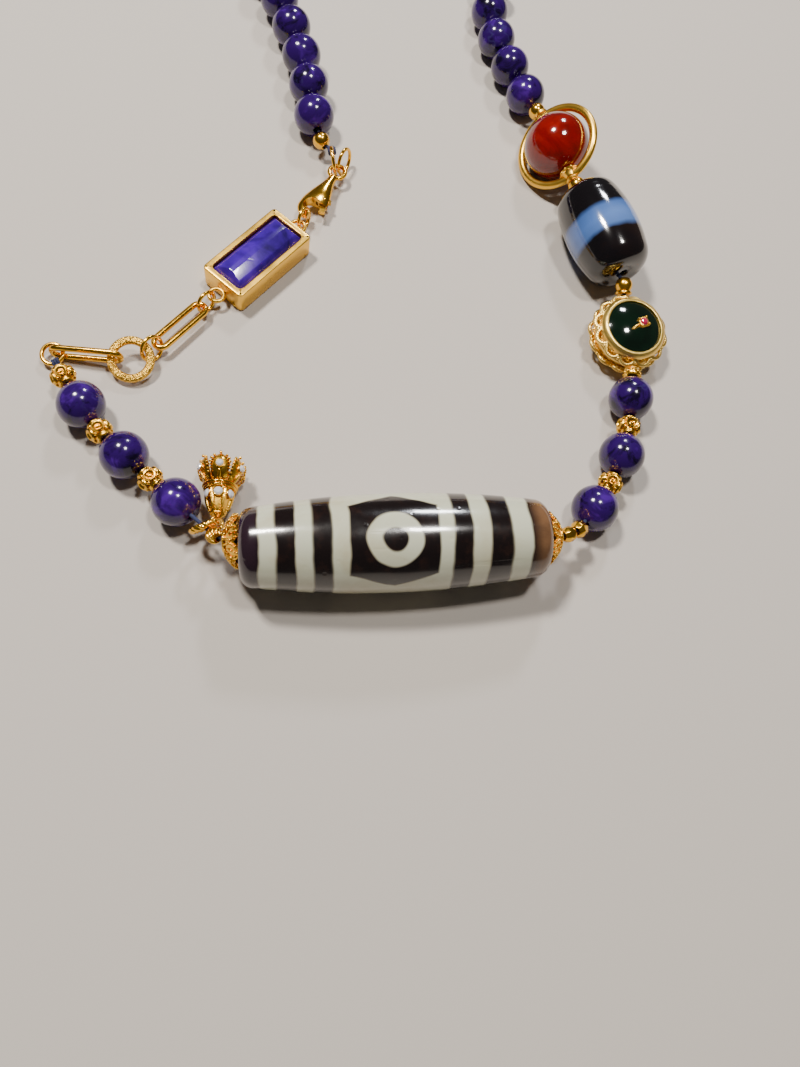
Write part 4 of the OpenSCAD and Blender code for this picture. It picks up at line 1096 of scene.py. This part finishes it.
# the link's own middle lies under the stone's middle, seen from above
low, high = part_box("bezel_stone")
bezelMiddle = Vector(((low.x + high.x) / 2 / mm, (low.y + high.y) / 2 / mm, bezel["up"]))
onBezel = Matrix.Translation(bezelMiddle) @ linkPlaced((0, 0, 0), bezel["turn"])
shape = bezelShape()
for side in (-1, 1):
    bail = moved(side * (bezel["length"] / 2 + bezel["bailReach"]), 0, -bezel["bailDrop"])
    addTo(shape, wireRing(bezel["bail"], bezel["bailWire"], 48, 14), bail)
finishPiece("bezel_link", shape, onBezel, satinGold)

halfL = bezel["length"] / 2 - bezel["wall"] - bezel["seat"]
halfW = bezel["width"] / 2 - bezel["wall"] - bezel["seat"]
lowZ = bezel["back"] - bezel["height"] / 2 + bezel["seat"]
shoulder = bezel["height"] / 2 - 0.5
peak = bezel["height"] / 2 + bezel["rise"]
rows = [(1, 1, lowZ), (1, 1, shoulder), (0.916, 0.72, shoulder + 0.6 * (peak - shoulder)), (0.86, 0.14, peak)]
corners = [(x * fx * halfL, y * fy * halfW, z) for x in (-1, 1) for y in (-1, 1) for fx, fy, z in rows]
shape = hullShape(corners)
softEdges(shape, shape.edges[:], 0.12)
violetStone = makeStone("violet blue stone", violetLook)
finishPiece("bezel_stone", shape, onBezel, violetStone, 30)
print("chain ready")


# the clasp: a teardrop with a hooked end, closed by its lever

clasp = {"turn": (0, 0, -121), "length": 7.9, "hook": 1.6, "hookWire": 0.84, "hole": 1.2, "tail": 1.15,
         "tailWire": 0.64, "thick": 1.8, "neck": 0.62, "neckEnd": 1.5, "pivot": (6.0, 0.95), "slot": 0.62,
         "pin": 0.2, "pinLength": 1.5}
hookOuter = clasp["hook"] + clasp["hookWire"] / 2


def teardropProfile():
    length, neck, neckEnd = clasp["length"], clasp["neck"], clasp["neckEnd"]
    points = [(0.98, 0.0), (1.0, 0.34), (1.15, neck - 0.1), (neckEnd, neck - 0.02)]
    for i in range(1, 15):
        t = i / 14
        swell = (t * t * (3 - 2 * t)) ** 0.9
        points.append((neckEnd + (length - 2.0) * t, neck + (hookOuter - neck) * swell))
    for i in range(1, 13):
        a = math.radians(100 - 100 * i / 12)
        points.append((length + hookOuter * math.cos(a) * 0.995, max(0.0, hookOuter * math.sin(a))))
    points[-1] = (length + hookOuter, 0.0)
    return points


def cutFrom(shape, cutters):
    # boolean cuts, then the result as a shape of its own
    piece = sceneObject("cut piece", meshFrom("cut piece", shape))
    tools = [sceneObject("cutter", meshFrom("cutter", cutter)) for cutter in cutters]
    for tool in tools:
        cut = piece.modifiers.new("cut", "BOOLEAN")
        cut.operation = "DIFFERENCE"
        cut.solver = "EXACT"
        cut.object = tool
    graph = bpy.context.evaluated_depsgraph_get()
    made = bpy.data.meshes.new_from_object(piece.evaluated_get(graph))
    result = bmesh.new()
    result.from_mesh(made)
    bpy.data.meshes.remove(made)
    for loose in [piece] + tools:
        data = loose.data
        bpy.data.objects.remove(loose)
        bpy.data.meshes.remove(data)
    return result


# placed by its lever's pin, which is where the joint is
pivot = Vector(frame["joints"][0]["pos_m"]) / mm
claspTurn = linkPlaced((0, 0, 0), clasp["turn"])
pivotX, pivotY = clasp["pivot"]
claspPlace = Matrix.Translation(pivot - claspTurn @ Vector((pivotX, pivotY, 0))) @ claspTurn
body = latheShape(teardropProfile(), 72, closed=False)
for vert in body.verts:
    # flattened, most of all towards the hook
    share = max(0.0, min(1.0, (vert.co.x - 1.0) / (clasp["length"] + 1.0)))
    full = clasp["thick"] / 2 / hookOuter
    vert.co.z *= 1.0 - (1.0 - full) * min(1.0, 1.9 * share)
holeCut = rod(clasp["hole"], 4, 64, (clasp["length"], 0, 0))
leverCut = block((4, 4, 4), (pivotX + 0.85 + 2, 0.3 + 2, 0))
slotCut = block((2, 4, clasp["slot"]), (pivotX + 0.35, pivotY + 1.15, 0))
shape = cutFrom(body, [holeCut, leverCut, slotCut])
bmesh.ops.remove_doubles(shape, verts=shape.verts, dist=0.002)
softEdges(shape, foldedEdges(shape, 0.9), 0.09, clamp=True)
addTo(shape, wireRing(clasp["tail"], clasp["tailWire"], 56, 16))
addTo(shape, ball(0.46, 12, (1.15, 1.0, 1.0)), moved(clasp["length"] + 1.55, -0.42, 0))
pin = rod(clasp["pin"], clasp["pinLength"], 24)
softEdges(pin, foldedEdges(pin, 1), 0.05, 2)
addTo(shape, pin, moved(pivotX, pivotY, 0))
finishPiece("clasp_body", shape, claspPlace, polishedGold, limit=38)
dress("clasp_lever", polishedGold)
print("clasp ready")


# charm: a lotus crown on a set cone, hung from a rope loop

charm = {"length": 8.3, "crown": 6.0, "collar": 4.4, "petals": 6, "flute": 0.10, "eye": 0.75, "eyeWire": 0.4,
         "eyeRoll": 34, "petalStone": 0.9, "coneStone": 1.1, "sheet": 0.2, "rope": 1.6, "ropeWire": 0.8,
         "ropeSwell": 1.12, "heading": 85, "drop": 1.5, "ropeNormal": (-0.3, 0.9, 0.3)}
collarX = 0.54 * charm["length"]
petalStoneX = 0.8 * charm["length"]
petalStoneR = 0.49 * charm["crown"] - 0.34
coneStoneX = collarX - 0.95
coneStoneR = 0.36 * charm["collar"] - 0.3
petalLine = [(collarX - 0.1, 0.22), (collarX + 0.5, 0.33), (collarX + 1.2, 0.42),
             (0.79 * charm["length"], 0.485), (0.9 * charm["length"], 0.49),
             (charm["length"] - 0.15, 0.425)]
coneLine = [(1.16, 0.95), (2.2, 1.27), (collarX - 0.6, 1.62), (collarX, 1.9)]
heart = [(collarX + 0.2, 0.62), (collarX + 1.0, 0.45), (collarX + 1.4, 0.62), (collarX + 1.8, 0.5),
         (collarX + 2.0, 0.2), (collarX + 2.05, 0)]


def alongLine(line, x):
    for (x0, r0), (x1, r1) in zip(line, line[1:]):
        if x <= x1:
            t = max(0.0, (x - x0) / (x1 - x0))
            return r0 + (r1 - r0) * t
    return line[-1][1]


def petalPoint(share, side, lift):
    # share runs from the collar to the petal's tip, side from -1 to 1 over its width
    x = collarX + 0.05 + (charm["length"] - 0.12 - collarX) * share
    narrowing = math.sqrt(max(0.0, 1 - max(0.0, (share - 0.45) / 0.55) ** 2.2))
    around = 0.48 * narrowing * (0.74 + 0.26 * min(1, share * 3)) * side
    r = charm["crown"] * alongLine(petalLine, x) + lift - 0.16 * side * side
    return Vector((x, r * math.sin(around), r * math.cos(around)))


def coneShape():
    collar = charm["collar"]
    cone = [(0.62, 0.0), (0.64, 0.42), (0.8, 0.58), (1.16, 0.22 * collar), (2.2, 0.29 * collar),
            (collarX - 0.6, 0.37 * collar), (collarX - 0.1, 0.42 * collar), (collarX + 0.35, 0.38 * collar),
            (collarX + 0.9, 0.22 * collar), (collarX + 1.1, 0.0)]
    shape = latheShape(cone, 72, closed=False)
    for vert in shape.verts:
        # flutes between the leaf ribs
        dip = 0.5 + 0.5 * math.cos(charm["petals"] * rollAngle(vert))
        if 0.9 < vert.co.x < collarX:
            vert.co.y *= 1 - charm["flute"] * dip
            vert.co.z *= 1 - charm["flute"] * dip
    return shape


def addPetal(shape, turn):
    # a curved sheet with a rolled edge of granules
    sheet = bmesh.new()
    bmesh.ops.create_grid(sheet, x_segments=14, y_segments=10, size=1)
    for vert in sheet.verts:
        vert.co = petalPoint((vert.co.x + 1) / 2, vert.co.y, -charm["sheet"])
    bmesh.ops.recalc_face_normals(sheet, faces=sheet.faces)
    bmesh.ops.solidify(sheet, geom=sheet.faces[:], thickness=charm["sheet"])
    bmesh.ops.recalc_face_normals(sheet, faces=sheet.faces)
    addTo(shape, sheet, turn)
    for i in range(13):
        share = 0.34 + 0.66 * (1 - abs(i - 6) / 6)
        side = 1 if i > 6 else -1 if i < 6 else 0
        size = 0.19 if share > 0.6 else 0.14
        spot = petalPoint(min(share, 0.995), side * 0.97, 0.02)
        addTo(shape, granule(size), turn @ Matrix.Translation(spot))
    # a rib up the petal to its stone, and the stone's collar
    foot, head = petalPoint(0.05, 0, 0.05), petalPoint(0.42, 0, 0.05)
    lean = math.atan2(head.z - foot.z, head.x - foot.x)
    ribPlace = turn @ Matrix.Translation((foot + head) / 2) @ Matrix.Rotation(-lean, 4, "Y")
    addTo(shape, ball(0.5, 8, (1.5, 0.36, 0.3)), ribPlace)
    stoneCollar = wireRing(charm["petalStone"] / 2 + 0.07, 0.17, 32, 8)
    addTo(shape, stoneCollar, turn @ moved(petalStoneX, 0, petalStoneR + 0.27))
    addTo(shape, ball(0.5, 8, (1, 1, 0.7)), turn @ moved(petalStoneX, 0, petalStoneR - 0.05))


def addLeaf(shape, turn):
    # a ribbed leaf between two stones of the cone, edged with granules
    collar = charm["collar"]
    leaf = ball(0.5, 10, (2.9, 0.62, 0.5))
    for vert in leaf.verts:
        if abs(vert.co.y) < 0.04:
            vert.co.z *= 1.18
    lean = math.atan2(0.37 * collar - 0.22 * collar, collarX - 0.6 - 1.16)
    addTo(shape, leaf, turn @ moved(collarX - 1.62, 0, 0.315 * collar) @ Matrix.Rotation(-lean, 4, "Y"))
    for side in (-1, 1):
        for i in range(9):
            x = 1.45 + 0.28 * i
            r = alongLine(coneLine, x) * 0.97
            swing = side * (15.5 - 4.5 * math.sin(math.pi * i / 8))
            addTo(shape, granule(0.10), turn @ turned("X", swing) @ moved(x, 0, r))


def charmShape():
    count = charm["petals"]
    shape = bmesh.new()
    addTo(shape, coneShape())
    # two plain wires at the collar and a twisted one at the top
    for x, r, wire, turns in ((collarX - 0.12, 1.86, 0.34, 0), (collarX + 0.22, 2.0, 0.36, 0),
                              (1.15, 0.86, 0.26, 7)):
        ring = twistedRing(r, wire, 96, 12, turns, 0.2) if turns else wireRing(r, wire, 96, 12)
        addTo(shape, ring, collarAt(x))
    for k in range(count):
        turn = stepTurn(k, count)
        between = turn @ stepTurn(0.5, count)
        addPetal(shape, turn)
        # the stones of the cone sit between leaf ribs
        stoneCollar = wireRing(charm["coneStone"] / 2 + 0.05, 0.18, 36, 8)
        addTo(shape, stoneCollar, turn @ moved(coneStoneX, 0, coneStoneR + 0.3))
        addLeaf(shape, between)
        # a small stamen inside the crown
        stamenPlace = between @ moved(collarX + 1.3, 0, 0.95) @ turned("Y", -14)
        addTo(shape, ball(0.5, 6, (1.6, 0.5, 0.5)), stamenPlace)
        addTo(shape, granule(0.2), between @ moved(collarX + 2.1, 0, 1.15))
    addTo(shape, latheShape(heart, 40, closed=False))
    for k in range(7):
        spot = stepTurn(k, 7) @ Vector((collarX + 1.85, 0, 0.42))
        addTo(shape, granule(0.16), Matrix.Translation(spot))
    addTo(shape, granule(0.2), moved(collarX + 2.02, 0, 0))
    addTo(shape, wireRing(charm["eye"], charm["eyeWire"], 40, 12), turned("X", charm["eyeRoll"]))
    return shape


# the charm's own axis starts at its eye, which hangs in the rope loop's lower side
normal = Vector(charm["ropeNormal"]).normalized()
across = Vector((normal.y, -normal.x, 0)).normalized()
down = normal.cross(across)
ropeMiddle = nodeCentre("charm_loop")
eyeTurn = math.radians(30)
eyeAt = ropeMiddle + charm["rope"] * (math.cos(eyeTurn) * across + math.sin(eyeTurn) * down)
onCharm = placed(eyeAt, charm["heading"], -charm["drop"])
finishPiece("charm", charmShape(), onCharm, castGold, name="lotusCharm")
shape = bmesh.new()
for k in range(charm["petals"]):
    turn = stepTurn(k, charm["petals"])
    addTo(shape, gemShape(charm["petalStone"]), turn @ moved(petalStoneX, 0, petalStoneR + 0.1))
    addTo(shape, gemShape(charm["coneStone"]), turn @ moved(coneStoneX, 0, coneStoneR + 0.02))
finishPiece("charm_stones", shape, onCharm, clearGem, 5)
rope = twistedRing(charm["rope"], charm["ropeWire"] * charm["ropeSwell"], 220, 24, 8, 0.26, strands=3)
ropePlace = Matrix.Translation(ropeMiddle) @ faceTo(normal)
finishPiece("charm_loop", rope, ropePlace, polishedGold, limit=60, name="ropeLoop")
print("charm ready")


# thread: one strand through everything, with its turns round the end rings

thread = {"thick": 0.5, "turns": 3, "pitch": 0.34, "coilWire": 0.36, "scale": 5200.0,
          "dark": (0.006, 0.008, 0.040), "light": (0.025, 0.035, 0.11)}
# each ring's turn, where on it the thread is tied, and the radius and thickness of its wire
tiedTo = {"clasp_ring_a": ((81, -3, 94), 0, 1.85, 0.5), "end_ring": ((12, -4, -1), -66, 1.35, 0.56)}
rightOrder = ["red_bead", "gold_bead_upper", "barrel_bead", "gold_bead_lower", "medallion_frame", "rondelle",
              "lapis_right_1", "spacer_right_1", "lapis_right_2", "spacer_right_2", "lapis_right_3",
              "faceted_bead_2", "faceted_bead_1", "dzi_cap_right"]
leftOrder = ["dzi_cap_left", "ribbed_gold_bead", "lapis_left_3", "spacer_left_3", "lapis_left_2",
             "spacer_left_2", "lapis_left_1", "spacer_left_1"]


def makeThread():
    material, tree, surface, place = newMaterial("dark blue thread")
    fibre = noiseNode(tree, place, thread["scale"], 2)
    setInputs(tree, surface, {
        "Base Color": mixColour(tree, fibre, thread["dark"], thread["light"]), "Roughness": 0.75,
        "Sheen Weight": 0.03, "Normal": bumpNode(tree, fibre, 0.6, 0.0001)})
    return material


knots = []
for node, (ringTurn, tiedAt, ringR, wire) in tiedTo.items():
    turn, angle = linkPlaced((0, 0, 0), ringTurn), math.radians(tiedAt)
    spot = boxMiddle(node) + turn @ Vector((ringR * math.cos(angle), ringR * math.sin(angle), 0))
    tangent = (turn.to_3x3() @ Vector((-math.sin(angle), math.cos(angle), 0))).normalized()
    knots.append((spot, tangent, wire))
points = [knots[0][0]] + backEnds + [centres[name] for name in rightOrder] + [dziPlace]
points += [centres[name] for name in leftOrder] + [knots[1][0]]

strand = bpy.data.curves.new("threadPath", "CURVE")
strand.dimensions = "3D"
strand.bevel_depth = thread["thick"] / 2
strand.bevel_resolution = 3
spline = strand.splines.new("POLY")
spline.points.add(len(points) - 1)
for point, co in zip(spline.points, points):
    point.co = (*co, 1)
holder = bpy.data.objects.new("threadPath", strand)
made = bpy.data.meshes.new_from_object(holder)
shape = bmesh.new()
shape.from_mesh(made)
bpy.data.objects.remove(holder)
bpy.data.curves.remove(strand)
bpy.data.meshes.remove(made)
bmesh.ops.holes_fill(shape, edges=[e for e in shape.edges if len(e.link_faces) < 2], sides=0)
bmesh.ops.recalc_face_normals(shape, faces=shape.faces)
for spot, tangent, wire in knots:
    for i in range(thread["turns"]):
        shift = tangent * thread["pitch"] * (i - (thread["turns"] - 1) / 2)
        coil = twistedRing(wire / 2 + 0.2, thread["coilWire"], 40, 10, 5, 0.2)
        addTo(shape, coil, Matrix.Translation(spot + shift) @ faceTo(tangent))
finishPiece("thread", shape, None, makeThread(), name="threadStrand")
print("thread ready")


# floor, light and camera

studio = {"floorSize": 1.5, "floor": (0.52, 0.47, 0.42, 1), "sky": (0.95, 0.92, 0.90, 1),
          "skyStrength": 0.075, "aim": (0.0, -0.03, 0.0)}
# soft boxes as (place in metres, size, watts, colour), each aimed at the dzi side of the loop
softBoxes = [((-0.15, 0.10, 0.42), 0.060, 2.7, (1.0, 0.96, 0.90)),
             ((0.10, -0.02, 0.46), 0.050, 1.3, (1.0, 0.97, 0.93)),
             ((0.12, 0.30, 0.30), 0.050, 1.0, (0.92, 0.95, 1.0))]
# the camera's place in millimetres and its angles, with the focal length and height of the picture in pixels
photoView = {"place": (-10.80, -119.27, 98.4), "down": 67.6, "heading": 69.454, "roll": 17.2,
             "focal": 846.0, "height": 1067.0}

shape = bmesh.new()
bmesh.ops.create_grid(shape, x_segments=1, y_segments=1, size=studio["floorSize"])
floor = sceneObject("floor", meshFrom("floor", shape))
floorMaterial, tree, surface, _ = newMaterial("pale floor")
setInputs(tree, surface, {"Base Color": studio["floor"], "Roughness": 0.85})
floor.data.materials.append(floorMaterial)

world = bpy.data.worlds.new("studio")
bpy.context.scene.world = world
world.use_nodes = True
tree = world.node_tree
setInputs(tree, tree.nodes["Background"], {0: studio["sky"], 1: studio["skyStrength"]})

for i, (spot, size, watts, colour) in enumerate(softBoxes):
    light = bpy.data.lights.new(f"softBox{i}", "AREA")
    light.shape = "SQUARE"
    light.size = size
    light.energy = watts
    light.color = colour
    lamp = sceneObject(f"softBox{i}", light)
    aim = Vector(studio["aim"]) - Vector(spot)
    lamp.matrix_world = Matrix.Translation(spot) @ aim.to_track_quat("-Z", "Y").to_matrix().to_4x4()

down, heading, roll = (math.radians(photoView[key]) for key in ("down", "heading", "roll"))
forward = Vector((math.cos(down) * math.cos(heading), math.cos(down) * math.sin(heading), -math.sin(down)))
level = Vector((math.sin(heading), -math.cos(heading), 0))
upward = level.cross(forward)
right = level * math.cos(roll) + upward * math.sin(roll)
above = right.cross(forward)
cameraData = bpy.data.cameras.new("camera")
cameraData.sensor_fit = "AUTO"
cameraData.sensor_width = 36
cameraData.lens = cameraData.sensor_width * photoView["focal"] / photoView["height"]
cameraData.clip_start = 0.005
camera = sceneObject("camera", cameraData)
rows = [(right[i], above[i], -forward[i], photoView["place"][i] * mm) for i in range(3)]
camera.matrix_world = Matrix(rows + [(0, 0, 0, 1)])
bpy.context.scene.camera = camera
print("camera and lights ready")
